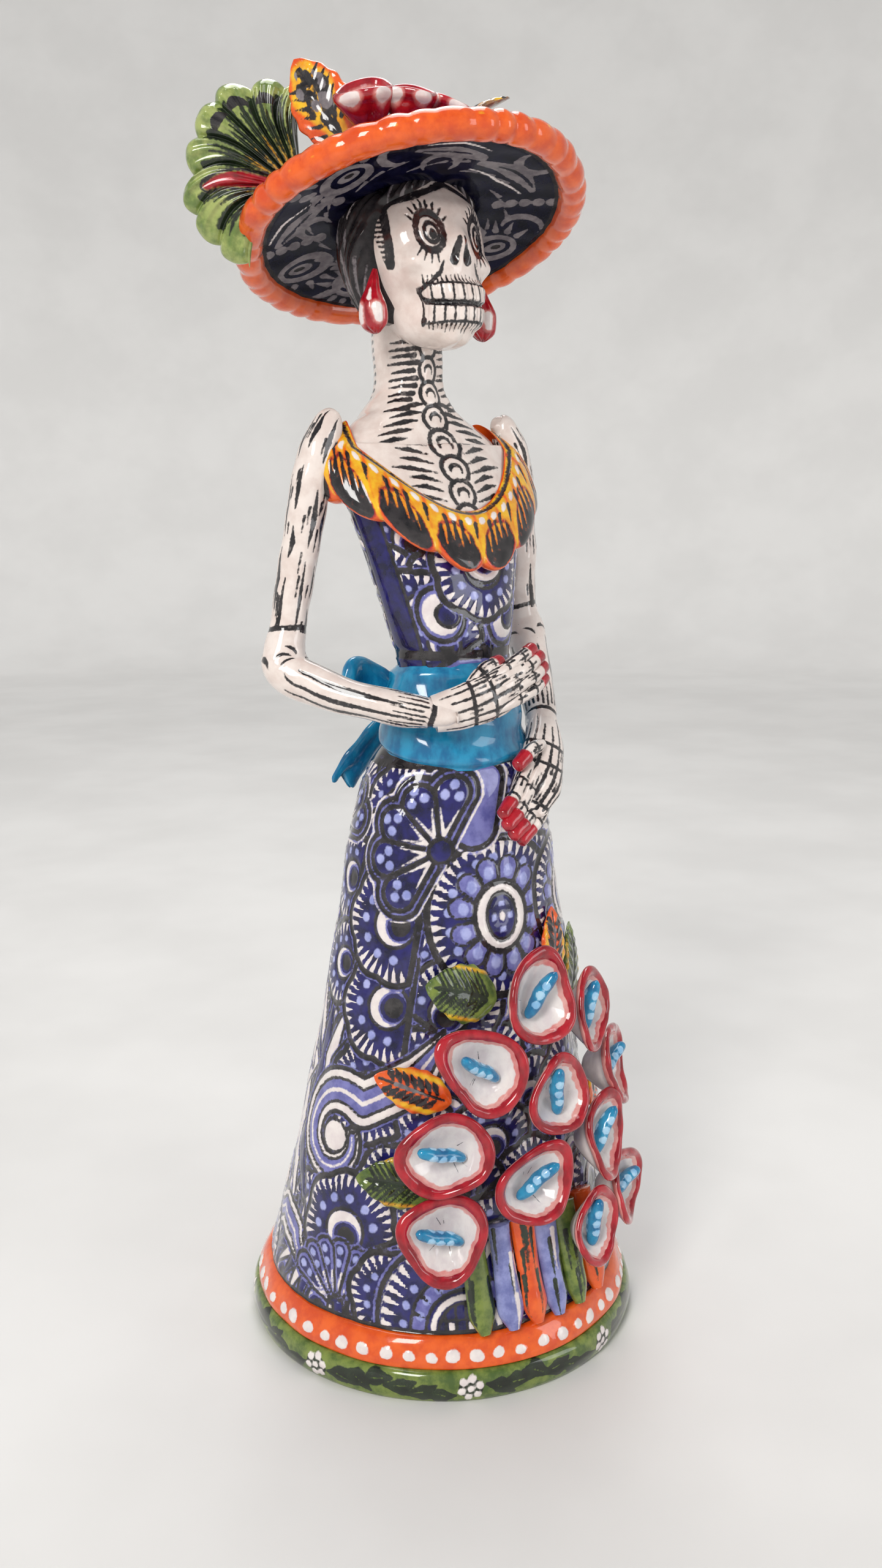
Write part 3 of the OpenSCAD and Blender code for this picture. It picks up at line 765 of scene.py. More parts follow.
def make_plinth():
    # Section from the middle of the underside, round the edge, to under the band
    outline = [(-42.2, 0.0), (-20, 0.0), (-6, 0.0), (-1.9, 0.0), (-0.9, 0.06), (-0.15, 0.35), (-0.1, 0.6),
               (-0.6, 0.86), (-1.6, 0.985), (-3.2, 0.995), (-9, 0.99)]
    section = spline(outline, 96)
    section[:, 1] = np.clip(section[:, 1], 0, 1)
    section[:, 0] = np.minimum(section[:, 0], -0.08)
    rows, cols = len(section), 420
    points, angle = band_grid("base_plinth", section, cols)
    paint = Paint(angle, points[..., 2], ("dark_green", "white", "yellow"), scale=44.0, period=TAU)
    side = section[:, 0] > -6
    r = rng(15)
    flowers = 8
    for k in range(flowers):
        a = math.radians(-29) + TAU * k / flowers
        for step in (-1.6, -1.12, -0.7, 0.7, 1.12, 1.6):
            turn = math.radians(r.uniform(-30, 30)) + (math.pi / 2 if step > 0 else -math.pi / 2)
            near, x, y = paint.at(a + step * 0.21, 2.2 + 2.2 * (abs(step) * 3 % 1), 6, turn)
            leaf = stroke(x, y, [(0, -3.4), (0.7, 0.3), (0, 3.4)], [0.4, 1.9, 0.3])
            paint.add("dark_green", near, leaf)
            near, x, y = paint.at(a + step * 0.21, 2.2 + 2.2 * (abs(step) * 3 % 1), 6, turn)
            paint.clear(near, stroke(x, y, [(0.2, -1.6), (0.5, 1.2)], [0.05, 0.12]), ("dark_green",))
        near, x, y = paint.at(a, 3.3, 5)
        paint.add("dark_green", near, disc(x, y, 0, 0, 2.6, 0.8))
        dot_arc(paint, near, x, y, 2.0, 0.3, 0.3 + TAU * 5 / 6, 6, 0.82, "white")
        paint.add("white", near, disc(x, y, 0, 0, 0.7))
    under = np.repeat((~side)[:, None], cols, 1)
    for colour in paint.layers:
        paint.layers[colour][under] = FAR
    lift = 0.16 * smooth(0.2, -0.4, paint.layers["white"])
    outside = np.stack([np.sin(angle), -np.cos(angle), np.zeros_like(angle)], -1)
    rim = bump(np.arange(rows)[:, None], rows * 0.6, rows * 0.22)
    soft = (wobble(points, 20, 0.28, 31) - 0.4) * rim
    points = points + outside * np.minimum(soft + lift * rim, -0.02)[..., None]
    faces = grid_faces(rows, cols, wrap_cols=True)
    colour = glaze("plinth_paint", GREEN, ("dark_green", "yellow", "white"))
    piece("plinth", points, faces, colour, ["base_plinth"], paint.layers, tube_caps(rows, cols))


# ---- Bodice, sash and bow ----

def make_bodice():
    rows, cols = 150, 320
    shape = softened(BODICE, rows)
    points, angle = ovals(shape, cols)
    reach = np.repeat(((shape[:, 2] + shape[:, 3]) / 2)[:, None], cols, 1)
    paint = Paint(angle, points[..., 2], BLUES + ("bone",), scale=reach, period=TAU)
    deg = math.radians
    scales(paint, 146, 186, 7.5, lambda z: np.interp(z, shape[:, 0], (shape[:, 2] + shape[:, 3]) / 2), 44)
    for a, z, size in ((-34, 158, 4.6), (32, 157, 5.0), (150, 158, 5), (-150, 158, 5)):
        # White C round a navy drop, over the waist
        near, x, y = paint.at(deg(a), z, size + 3)
        blob = disc(x, y, 0, 0, size, 1.15)
        paint.clear(near, blob - 1.0)
        paint.add("black", near, shell(blob - 0.1, 0.5))
        paint.add("white", near, np.maximum(blob + 1.0, -disc(x, y, size * 0.3, -0.2, size * 0.5)))
        paint.add("navy", near, disc(x, y, size * 0.3, -0.2, size * 0.5))
        paint.add("black", near, shell(disc(x, y, size * 0.3, -0.2, size * 0.5), 0.4))
    for a, z, size in ((8, 167, 10.5), (178, 168, 11), (105, 170, 8), (-105, 170, 8)):
        fan(paint, deg(a), z, size, 0, True)
    near, x, y = paint.at(deg(8), 168, 8)
    ring = disc(x, y, 0, 0, 3.9, 0.9)
    paint.clear(near, ring - 0.8)
    paint.add("white", near, shell(ring + 0.6, 0.75))
    paint.add("black", near, shell(ring - 0.5, 0.4))
    paint.add("navy", near, ring + 1.6)
    # Dark side seams under the arms, and a dark line above the sash
    for side in (-1, 1):
        seam = np.abs(angle - side * deg(80)) * reach - 4.4
        for colour in paint.layers:
            paint.layers[colour] = np.maximum(paint.layers[colour], -seam)
        paint.layers["navy"] = np.minimum(paint.layers["navy"], seam)
        paint.layers["black"] = np.minimum(paint.layers["black"], np.abs(seam) - 0.45)
    paint.layers["black"] = np.minimum(paint.layers["black"], np.abs(paint.v - 149.6) - 1.0)
    # Bare chest above the collar's neckline: backbone and ribs
    chest = neckline(angle) - 2.5 - paint.v
    for colour in paint.layers:
        paint.layers[colour] = np.maximum(paint.layers[colour], -chest)
    paint.layers["bone"] = chest
    for z in np.arange(191.5, 174, -4.8):
        vertebra(paint, deg(1), z, 1.3)
    for side in (-1, 1):
        for k, z in enumerate(np.arange(192.5, 176, -1.9)):
            near, x, y = paint.at(deg(side * 14), z, 12)
            long = 4.6 + 2.4 * (k % 3 == 0)
            path = [(-side * 0.6, -0.8), (side * long * 0.5, 0.4), (side * long, 0.5)]
            paint.add("black", near, stroke(x, y, path, [0.16, 0.56, 0.16]))
    normal = outward_normals(points)
    points = points + normal * (relief(paint) + wobble(points, 16, 0.25, 41) - 0.2)[..., None]
    faces = grid_faces(rows, cols, wrap_cols=True)
    colour = glaze("bodice_paint", PERIWINKLE, ("navy", "white", "lavender", "bone", "black"))
    layers = {k: v for k, v in paint.layers.items() if k != "periwinkle"}
    piece("bodice_body", points, faces, colour, ["bodice"], layers, tube_caps(rows, cols))


def vertebra(paint, cu, z, size):
    """One bone of the spine: an open oval with a curl inside."""
    near, x, y = paint.at(cu, z, 6)
    bead = disc(x, y, 0, 0, 1.85 * size, 1.12)
    paint.clear(near, bead - 0.4, ("black",))
    paint.add("black", near, shell(bead, 0.42))
    curl = arc_points(0.1, -0.1, 0.85 * size, -0.6, 3.4, 7)
    paint.add("black", near, stroke(x, y, curl, [0.12, 0.24, 0.34, 0.42, 0.42, 0.34, 0.16]))


def make_sash():
    """Wide cloth-like band: folds sag at the front and gather at the knot."""
    rows, cols = 70, 300
    low, high = (c[2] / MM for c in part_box("sash"))
    t = np.linspace(0, 1, rows)[:, None]
    angle = np.linspace(-math.pi, math.pi, cols, endpoint=False)[None]
    front = (1 + np.cos(angle)) / 2
    bottom = low + 0.4 + 3.6 * (1 - front) + 1.2 * np.sin(angle + 0.4) ** 2
    top = high - 0.6 - 1.4 * (1 - front)
    z = bottom + (top - bottom) * t
    k = softened(profile("sash"), 80)
    rx, ry = np.interp(z, k[:, 0], k[:, 2]), np.interp(z, k[:, 0], k[:, 3])
    cy = np.interp(z, k[:, 0], k[:, 1])
    gather = 1 - bump(np.abs(angle), math.pi, 0.5) * 0.3
    folds = 0.35 * np.sin(t * 15 + 1.6 * np.sin(angle * 2 + 1) + 0.8 * angle) * gather
    edge = -1.5 * (bump(t, 0, 0.05) + bump(t, 1, 0.06))
    grow = folds * smooth(0, 0.15, t) * smooth(1, 0.85, t) + edge - 0.45
    points = np.stack([(rx + grow) * np.sin(angle), cy - (ry + grow) * np.cos(angle), z], -1)
    points += wobble(points, 9, 0.12, 51)[..., None] * np.array([1, 1, 0])
    colour = glaze("sash_paint", TURQUOISE, (), streak=(1, 1, 0.5))
    piece("sash_band", points, grid_faces(rows, cols, wrap_cols=True), colour, ["sash"],
          caps=tube_caps(rows, cols))
    return colour


def make_bow(colour):
    keys = [(0, 8.2, 139, 2.2, 2.0), (0, 10, 139, 3.5, 3.2), (0, 12.8, 139, 3.2, 3.0),
            (0, 14.3, 139, 0.4, 0.4)]
    points, along, around = tube(keys, 30, 48, (0, 0, 1))
    points = points + 0.25 * np.sin(around * 5 + along)[..., None] * np.array([0.7, 0, 0.7])
    piece("knot", points, grid_faces(30, 48, wrap_cols=True), colour, ["bow_knot"],
          caps=tube_caps(30, 48))
    for side, name in ((1, "left"), (-1, "right")):
        # Fat loop, pinched at the knot and dished where the ribbon turns over
        keys = [(3.0, 11.4, 139, 0.9, 1.3), (4.2, 11.8, 139.2, 1.5, 2.3), (8, 12.6, 141, 2.2, 4.3),
                (13, 12.1, 142.4, 2.4, 5.2), (16.6, 10.7, 142.8, 1.9, 4.0), (18.2, 9.8, 142.9, 0.2, 0.4)]
        keys = [(side * x, y, z, a, b) for x, y, z, a, b in keys]
        points, along, around = tube(keys, 80, 90, (0, 0, 1))
        share = along / along[-1, 0]
        dish = -1.3 * bump(share, 0.62, 0.26) * np.abs(np.cos(around)) ** 3
        pleats = 0.22 * np.sin(around * 6) * smooth(0.75, 0.1, share)
        points = points + outward_normals(points) * (dish + pleats + wobble(points, 8, 0.12, 55))[..., None]
        faces = grid_faces(80, 90, wrap_cols=True)
        piece("loop_" + name, points, faces, colour, ["bow_loop_" + name],
              caps=tube_caps(80, 90))
        keys = [(2.4, 12.4, 136.6, 1.2, 0.5), (4, 13.2, 134.4, 2.2, 1.0), (7, 14.6, 130, 3.0, 1.15),
                (11.5, 16.6, 123.5, 3.6, 1.1), (13.7, 17.5, 119.6, 3.5, 0.9), (14.1, 17.7, 118.8, 2.4, 0.15)]
        keys = [(side * x, y, z, a, b) for x, y, z, a, b in keys]
        points, along, around = tube(keys, 70, 60, (0, 1, 0.2))
        share = along / along[-1, 0]
        notch_depth = 2.4 * bump(np.cos(around), 0, 0.5) * smooth(0.72, 1, share)
        notch = np.array([0, 0, 1.0]) * notch_depth[..., None]
        crease = -0.35 * bump(np.cos(around), 0, 0.3) + 0.12 * np.sin(along * 0.9)
        points = points + outward_normals(points) * crease[..., None] + notch
        faces = grid_faces(70, 60, wrap_cols=True)
        piece("tail_" + name, points, faces, colour, ["bow_tail_" + name],
              caps=tube_caps(70, 60))


# ---- Neck, collar and head ----

BONE_LAYERS = ("grey", "red", "black")


def bone_glaze(name):
    return glaze(name, BONE, BONE_LAYERS)


def make_neck():
    keys = [(186, 5.5, 19, 7.6), (192, 7.6, 19.3, 7.3), (196, 9.5, 15, 7.2), (199.5, 11, 10.4, 7.7),
            (204, 12, 7.4, 7.4), (212, 12, 7.5, 7.5), (219, 12, 7.6, 7.6)]
    rows, cols = 150, 220
    shape = spline(keys, rows)
    points, angle = ovals(shape, cols)
    reach = np.repeat(((shape[:, 2] + shape[:, 3]) / 2)[:, None], cols, 1)
    paint = Paint(angle, points[..., 2], BONE_LAYERS, scale=reach, period=TAU)
    deg = math.radians
    r = rng(61)
    for z in np.arange(211.5, 191, -4.8):
        vertebra(paint, deg(3), z, 1.25)
    for side in (-1, 1):
        for z in np.arange(212, 198, -1.45):
            wide = r.uniform(2.2, 3.4)
            near, x, y = paint.at(deg(side * 44), z + r.uniform(-0.3, 0.3), 6)
            paint.add("black", near, stroke(x, y, [(-wide, -0.3), (wide, 0.25)], [0.2, 0.58]))
        for z in np.arange(214, 200, -1.6):
            near, x, y = paint.at(deg(side * 118), z, 5)
            paint.add("black", near, stroke(x, y, [(-1.2, -0.2), (1.3, 0.2)], [0.16, 0.45]))
        for k in range(7):
            near, x, y = paint.at(deg(side * (22 + 3 * k)), 199.5 - 1.8 * k, 8)
            paint.add("black", near,
                      stroke(x, y, [(-side * 2.2, 0.6), (0, 0.3), (side * 3.6, -0.7)], [0.2, 0.58, 0.14]))
    normal = outward_normals(points)
    tendon = 0.45 * bump(np.abs(angle), 0.75, 0.22) * smooth(196, 202, points[..., 2])
    points = points + normal * (tendon + relief(paint, 0.1, 0) + wobble(points, 9, 0.16, 62) - 0.2)[..., None]
    faces = grid_faces(rows, cols, wrap_cols=True)
    piece("neck", points, faces, bone_glaze("neck_bone"), ["neck_and_chest"], paint.layers,
          tube_caps(rows, cols))


def neckline(angle):
    front = (1 + np.cos(angle)) / 2
    return 198.5 - 20.5 * front**3.5 - 8 * (1 - front) ** 3


def on_shoulders(angle, z, grow):
    """Place on the bodice at height z, carried on over the slope of the shoulders."""
    k = softened(BODICE, 120)
    low = np.minimum(z, 191)
    rise = np.maximum(0, z - 191)
    rx = np.interp(low, k[:, 0], k[:, 2]) + grow - 0.9 * rise
    ry = np.interp(low, k[:, 0], k[:, 3]) + grow - 0.2 * rise
    cy = np.interp(low, k[:, 0], k[:, 1]) + 0.3 * rise
    return np.stack([rx * np.sin(angle), cy - ry * np.cos(angle), z], -1)


def make_collar():
    section = rounded([(0.0, -0.5), (-0.01, 0.9), (0.07, 1.9), (0.3, 2.3), (0.6, 2.6), (0.88, 3.0),
                       (1.0, 2.3), (0.99, 0.5), (0.7, -0.5), (0.3, -0.5)], 56)
    cols = 480
    angle = np.linspace(-math.pi, math.pi, cols, endpoint=False)[None] * np.ones((56, 1))
    lobes = 13
    scallop = np.abs(np.sin(angle * lobes / 2)) ** 0.8
    share, grow = section[:, :1], section[:, 1:]
    drop = share * (10.2 + 4 * np.sin(angle) ** 2 + 1.7 * scallop)
    z = neckline(angle) - drop
    outside = smooth(0.2, 1.4, grow)
    swell = outside * (0.5 * scallop * smooth(0.2, 0.9, share) - 0.15
                       + 2.4 * np.abs(np.sin(angle)) ** 3 * np.sin(share * 2.6))
    points = on_shoulders(angle, z, np.maximum(grow, 0.15 - outside) + swell)
    paint = Paint(angle, -drop, ("yellow", "red", "white", "black"), scale=19.0, period=TAU)
    r = rng(71)
    for k in range(lobes):
        a = TAU * (k + 0.5) / lobes
        deep = 12.2 + 4 * math.sin(a) ** 2
        near, x, y = paint.at(a, -deep, 18)
        drop_shape = stroke(x, y, [(0, 4.6), (0, deep * 0.5), (0, deep * 0.78)], [3.9, 3.3, 0.4])
        paint.add("yellow", near, stroke(x, y, [(-4.6, 3.0), (-2.6, deep)], [0.4, 1.5]))
        paint.add("yellow", near, stroke(x, y, [(4.6, 3.0), (2.6, deep)], [0.4, 1.5]))
        paint.add("yellow", near, stroke(x, y, [(0, deep * 0.66), (0, deep)], [0.3, 1.2]))
        paint.add("black", near, drop_shape)
        for j in range(4):
            sx = (j - 1.5) * 1.5
            flick = [(sx * 0.9, deep * 0.72), (sx * 1.05, deep * r.uniform(0.32, 0.5))]
            licks = stroke(x, y, flick, [0.42, 0.08])
            paint.clear(near, licks, ("black",))
            paint.add("yellow", near, licks + 0.1)
        paint.add("red", near, np.maximum(shell(drop_shape + 0.1, 0.3), 1.2 - y))
        for j in (-1, 0, 1):
            paint.add("black", near,
                      stroke(x, y, [(3.0 * j + 1.5, deep - 2.2), (2.8 * j + 1.4, deep - 5.4)], [0.5, 0.12]))
            paint.add("white", near, disc(x, y, 3.1 * j, deep - 1.7, 0.72))
    under = grow * np.ones_like(angle) < 0.4
    paint.layers["black"] = np.minimum(paint.layers["black"], np.abs(drop - 0.1) - 0.25)
    for colour in paint.layers:
        paint.layers[colour][under] = FAR
    lift = 0.18 * smooth(0.2, -0.4, paint.layers["white"]) - 0.16 * smooth(0.2, -0.2, paint.layers["black"])
    normals = outward_normals(points.transpose(1, 0, 2)).transpose(1, 0, 2)
    points = points + normals * (lift * outside)[..., None]
    colour = glaze("collar_paint", ORANGE, ("yellow", "red", "black", "white"))
    faces = grid_faces(56, cols, wrap_rows=True, wrap_cols=True)
    piece("collar_ring", points, faces, colour, ["collar"], paint.layers)


# [height, centre y, half width, depth to the front, depth to the back]
SKULL = [
    (210.3, 0.6, 0.1, 0.1, 0.1), (210.6, 0.8, 3.0, 4.6, 2.6), (213, 2.5, 6.8, 9.6, 8), (218, 4, 9, 12.0, 12),
    (224, 6, 11.5, 13.0, 15), (230, 7, 12.9, 13.6, 16), (236, 7.5, 12.4, 11.9, 14.5),
    (241.5, 8, 9.4, 8.6, 11), (244.8, 8, 4.5, 4.5, 5.5), (245.6, 8, 0.1, 0.1, 0.1)]


def skull_surface(rows, cols, grow=0.0):
    shape = spline(SKULL, rows)
    angle = np.linspace(-math.pi, math.pi, cols, endpoint=False)[None] * np.ones((rows, 1))
    z, cy, rx, front, back = (shape[:, k, None] for k in range(5))
    depth = np.where(np.cos(angle) > 0, front, back)
    points = np.stack([rx * np.sin(angle), cy - depth * np.cos(angle), z * np.ones_like(angle)], -1)
    points = points + outward_normals(points) * grow
    return points, angle, (rx + front) / 2 * np.ones_like(angle)


def sculpt_face(x, z):
    """Height in mm of the modelled face; x is the distance round from the middle line."""
    ax = np.abs(x)
    h = 0.55 * np.exp(-((x / 9) ** 2) - ((z - 237.4) / 1.7) ** 2)
    h -= 1.15 * np.exp(-(((ax - 6.3) / 3.2) ** 2) - ((z - 232.2) / 3.6) ** 2)
    h += 0.75 * np.exp(-(((ax - 6.3) / 1.9) ** 2) - ((z - 232.2) / 2.3) ** 2)
    h += 1.0 * np.exp(-((x / 1.7) ** 2) - ((z - 230.6) / 2.6) ** 2)
    h -= 1.1 * np.exp(-(((ax - 1.2) / 0.7) ** 2) - ((z - 228.2) / 1.5) ** 2)
    h += 1.5 * np.exp(-(((ax - 10.2) / 2.8) ** 2) - ((z - 226.4) / 2.0) ** 2)
    h -= 1.7 * np.exp(-(((ax - 12.6) / 3.4) ** 2) - ((z - 219.5) / 3.2) ** 2)
    h += 0.8 * np.exp(-((ax / 7.5) ** 4) - ((z - 218.6) / 5.0) ** 4)
    teeth = smooth(10.5, 7.5, ax) * smooth(213.6, 215.2, z) * smooth(223.4, 221.8, z)
    rows = 0.9 - 0.7 * bump(z, 218.6, 0.45) - 0.22 * np.abs(np.cos(x * math.pi / 2.1)) ** 8
    h += teeth * rows
    h += 0.7 * np.exp(-(((ax - 1.8) / 1.9) ** 2) - ((z - 211.9) / 1.3) ** 2)
    return h


def paint_eye(paint, x, y, every, cx, cy, side):
    paint.add("black", every, shell(disc(x, y, cx, cy, 2.85, 1.3), 0.62))
    paint.add("black", every, shell(disc(x, y, cx + 0.35, cy - 0.1, 1.5, 1.3), 0.4))
    paint.add("black", every, disc(x, y, cx + 0.55, cy - 0.4, 0.85, 1.3))
    for k in range(8):
        a = math.radians(30 + 17 * k)
        c, s = math.cos(a), math.sin(a) * 1.12
        bend = -0.25 * math.copysign(1, c)
        lash = [(cx + 3.8 * c, cy + 4.2 * s), (cx + 4.5 * c + bend, cy + 4.8 * s),
                (cx + 4.9 * c, cy + 5.4 * s)]
        paint.add("black", every, stroke(x, y, lash, [0.32, 0.27, 0.12]))
    for k in range(4):
        a = math.radians(-76 - 18 * k) if side < 0 else math.radians(-104 + 18 * k)
        c, s = math.cos(a), math.sin(a) * 1.1
        paint.add("black", every,
                  stroke(x, y, [(cx + 3.6 * c, cy + 3.9 * s), (cx + 4.9 * c, cy + 5.6 * s)], [0.34, 0.12]))


def paint_face(paint):
    """Everything the brush did on the skull, in mm round and up."""
    near, x, y = paint.at(0.0, 0.0, 400)
    r = rng(83)
    for side in (-1, 1):
        paint_eye(paint, x, y, near, side * 6.3, 232.2, side)
        paint.add("black", near, stroke(x, y, [(side * 0.6, 231.0), (side * 1.7, 227.0)], [0.4, 1.15]))
        hairline = [(0, 242.2), (side * 3.4, 240.6), (side * 8, 238.9), (side * 13, 238.4),
                    (side * 15.8, 237.6)]
        paint.add("black", near, stroke(x, y, hairline, [0.75, 0.6, 0.85, 1.2, 2.2]))
        temple = stroke(x, y, [(side * 15.6, 237.4), (side * 16.6, 232), (side * 15.4, 226.2)],
                        [1.7, 2.1, 1.2])
        paint.add("black", near, temple)
        for z in np.arange(227, 236, 0.95):
            tick = stroke(x, y, [(side * 16.6, z), (side * 19, z + 0.2)], [0.2, 0.28])
            paint.clear(near, tick, ("black",))
        # Cheek line that runs down to the corner of the mouth
        cheek = [(side * 4.2, 226.6), (side * 4.9, 224.6), (side * 7.2, 222.4), (side * 10.2, 220.8)]
        paint.add("black", near, stroke(x, y, cheek, [0.2, 0.44, 0.44, 0.5]))
        paint.add("black", near, disc(x, y, side * 10.4, 220.6, 0.75, 1.4))
        paint.add("black", near, disc(x, y, side * 9.2, 215.2, 0.7, 1.3))
        jaw = [(side * 10.4, 219.4), (side * 9.6, 217.6), (side * 9.2, 215.4)]
        paint.add("black", near, stroke(x, y, jaw, [0.2, 0.3, 0.3]))
    lips = [(-10.4, 220.2), (-9, 218.9), (-4, 218.5), (4, 218.5), (9, 218.9), (10.4, 220.2)]
    paint.add("black", near, stroke(x, y, lips, [0.4, 0.6, 0.6, 0.6, 0.6, 0.4]))
    for level in (222.2, 215.2):
        line = [(-9.2, level - 0.5), (-4, level + 0.1), (4, level + 0.1), (9.2, level - 0.5)]
        paint.add("black", near, stroke(x, y, line, [0.2, 0.28, 0.28, 0.2]))
    for k in np.arange(-4, 5):
        tooth = 2.1 * k + 1.05
        lean = r.uniform(-0.15, 0.15)
        paint.add("black", near, stroke(x, y, [(tooth + lean, 222.3), (tooth, 219)], [0.26, 0.22]))
        paint.add("black", near, stroke(x, y, [(tooth * 0.96 - lean, 218.2), (tooth * 0.94, 215.2)],
                                        [0.22, 0.26]))
    for k in range(19):
        t = (k - 9) * 0.98
        paint.add("black", near,
                  stroke(x, y, [(t, 222.4), (t + r.uniform(-0.2, 0.2), r.uniform(223.4, 224.3))],
                         [0.26, 0.1]))
        paint.add("black", near, stroke(x, y, [(t * 0.9, 215.1), (t * 0.9, r.uniform(213.2, 214.1))],
                                        [0.26, 0.1]))


def make_skull():
    rows, cols = 240, 410
    points, angle, reach = skull_surface(rows, cols)
    paint = Paint(angle, points[..., 2], BONE_LAYERS, scale=reach)
    paint_face(paint)
    height = sculpt_face(angle * reach, points[..., 2]) * smooth(1.9, 1.4, np.abs(angle))
    height += relief(paint, 0.1, 0) + wobble(points, 14, 0.16, 81) - 0.1
    points = points + outward_normals(points) * height[..., None]
    faces = grid_faces(rows, cols, wrap_cols=True)
    piece("skull_head", points, faces, bone_glaze("skull_bone"), ["skull"], paint.layers,
          tube_caps(rows, cols))


def make_hair():
    """Combed hair: a skin over the back of the skull whose edge sinks under the bone."""
    rows, cols = 240, 420
    points, angle, reach = skull_surface(rows, cols)
    z = points[..., 2]
    edge = np.interp(z, [214, 218, 226, 234, 237.5, 240, 243, 246], [112, 92, 84, 78, 70, 38, 6, 0])
    inside = (np.abs(angle) - np.radians(edge)) * reach
    inside = np.minimum(inside, (z - 215.6) * 1.1)
    side = np.where(angle < 0, -1, 1)
    flow = np.abs(angle) * 1.0 + (z - 240) * 0.05 + 0.02 * np.sin(z * 0.6)
    combed = np.sin(flow * 46 + 2 * np.sin(flow * 9 + side)) * 0.2 + np.sin(flow * 19 + side) * 0.18
    full = 1.4 + 2.3 * smooth(1.1, 1.8, np.abs(angle)) * smooth(243, 236, z)
    height = -0.7 + full * smooth(-1.0, 2.6, inside) ** 0.8 + combed * smooth(0.5, 2.5, inside)
    paint = Paint(angle, z, ("grey", "white"), scale=reach, period=TAU)
    r = rng(91)
    for _ in range(80):
        a0 = r.uniform(0.1, 2.9) * r.choice([-1, 1])
        z0 = r.uniform(220, 243)
        near, x, y = paint.at(a0, z0, 9)
        fall = r.uniform(3, 7)
        drift = fall * 0.42 * (1 if a0 > 0 else -1)
        lock = stroke(x, y, [(-drift, fall), (drift * 0.1, 0), (drift, -fall)],
                      [0.06, r.uniform(0.15, 0.36), 0.06])
        paint.add("white" if r.uniform() < 0.12 else "grey", near, lock)
    points = points + outward_normals(points) * height[..., None]
    faces = grid_faces(rows, cols, wrap_cols=True)
    kept = faces[(inside.ravel()[faces] > -1.2).all(1)]
    colour = glaze("hair_paint", BLACK, ("grey", "white"), shine=0.45)
    piece("hair_cap", points, kept, colour, ["hair"], paint.layers)


def make_earring(side, name):
    keys = [(13.0, 4.6, 225.4, 0.4, 0.4), (13.3, 4.5, 223.8, 0.9, 0.9), (13.8, 4.2, 221.4, 1.6, 1.5),
            (14.0, 4.0, 218.2, 2.75, 3.0), (13.8, 3.8, 215, 2.6, 2.9), (13.6, 3.7, 213.4, 1.1, 1.5),
            (13.5, 3.7, 212.9, 0.1, 0.1)]
    keys = [(side * x, y, z, a, b) for x, y, z, a, b in keys]
    rows, cols = 70, 60
    points, along, around = tube(keys, rows, cols, (0, 1, 0.01))
    paint = Paint(around, along, ("pink", "white"), scale=2.2, period=TAU)
    for a in np.linspace(0, TAU, 4, endpoint=False):
        near, x, y = paint.at(a + 0.3, 9.5, 6)
        patch = stroke(x, y, [(0.1, -1.7), (-0.1, 0.5)], [1.0, 0.65])
        paint.add("pink", near, patch - 0.25)
        paint.add("white", near, patch)
        near, x, y = paint.at(a + 0.9, 5.2, 4)
        paint.add("white", near, stroke(x, y, [(0, -0.9), (0.1, 0.9)], [0.3, 0.45]))
    grooves = -0.22 * np.cos(around * 4 + 0.6) ** 8
    points = points + outward_normals(points) * (grooves + wobble(points, 4, 0.06, 96))[..., None]
    colour = glaze("earring_paint_" + name, RED, ("pink", "white"))
    node = "earring_" + name
    piece("drop_" + name, points, grid_faces(rows, cols, wrap_cols=True), colour, [node],
          paint.layers, tube_caps(rows, cols))


# ---- Hat ----

HAT_CENTRE = (0, 10.4, 235.4)
DISC = 33.8  # from the hat's middle to the middle of its rolled rim, in mm


def on_head(points):
    return turned(points, HAT_CENTRE, ("x", -23), ("y", 2))


def feathered_eye(paint, cu, cv, r, turn=0.0):
    near, x, y = paint.at(cu, cv, r * 2.2, turn)
    paint.add("grey", near, disc(x, y, 0, 0, r, 0.72))
    paint.clear(near, disc(x, y, r * 0.1, 0, r * 0.66, 0.66), ("grey", "white"))
    paint.add("grey", near, disc(x, y, r * 0.16, 0, r * 0.42, 0.6))
    paint.add("black", near, disc(x, y, r * 0.2, 0, r * 0.2, 0.6))
    for k in range(7):
        a = 0.3 + 0.42 * k
        c, s = math.cos(a), math.sin(a) * 0.8
        feather = stroke(x, y, [(c * r * 1.2, s * r * 1.2), (c * r * 1.8, s * r * 1.8)], [0.8, 0.15])
        paint.add("grey", near, feather)


def swirl_bands(paint, cu, cv, r, turn=0.0):
    """Broad grey leaf with a dark vein, over a curled stripe."""
    near, x, y = paint.at(cu, cv, r * 1.9, turn)
    paint.add("grey", near, stroke(x, y, [(-r, 0), (0, 0.6), (r * 1.1, 0)], [1.2, 2.5, 0.6]))
    paint.clear(near, stroke(x, y, [(-r * 0.6, 0.1), (0, 0.7), (r * 0.9, 0.5)], [0.25, 0.5, 0.3]),
                ("grey", "white"))
    curl = arc_points(0, r * 0.75, r * 0.5, 2.6, 7.2, 9)
    paint.add("grey", near, stroke(x, y, curl, [0.2, 0.6, 0.9, 1.1, 1.1, 1.0, 0.8, 0.5, 0.2]))
    paint.add("white", near,
              stroke(x, y, [(-r, -r * 0.42), (0, -r * 0.5), (r, -r * 0.3)], [0.15, 0.35, 0.15]))


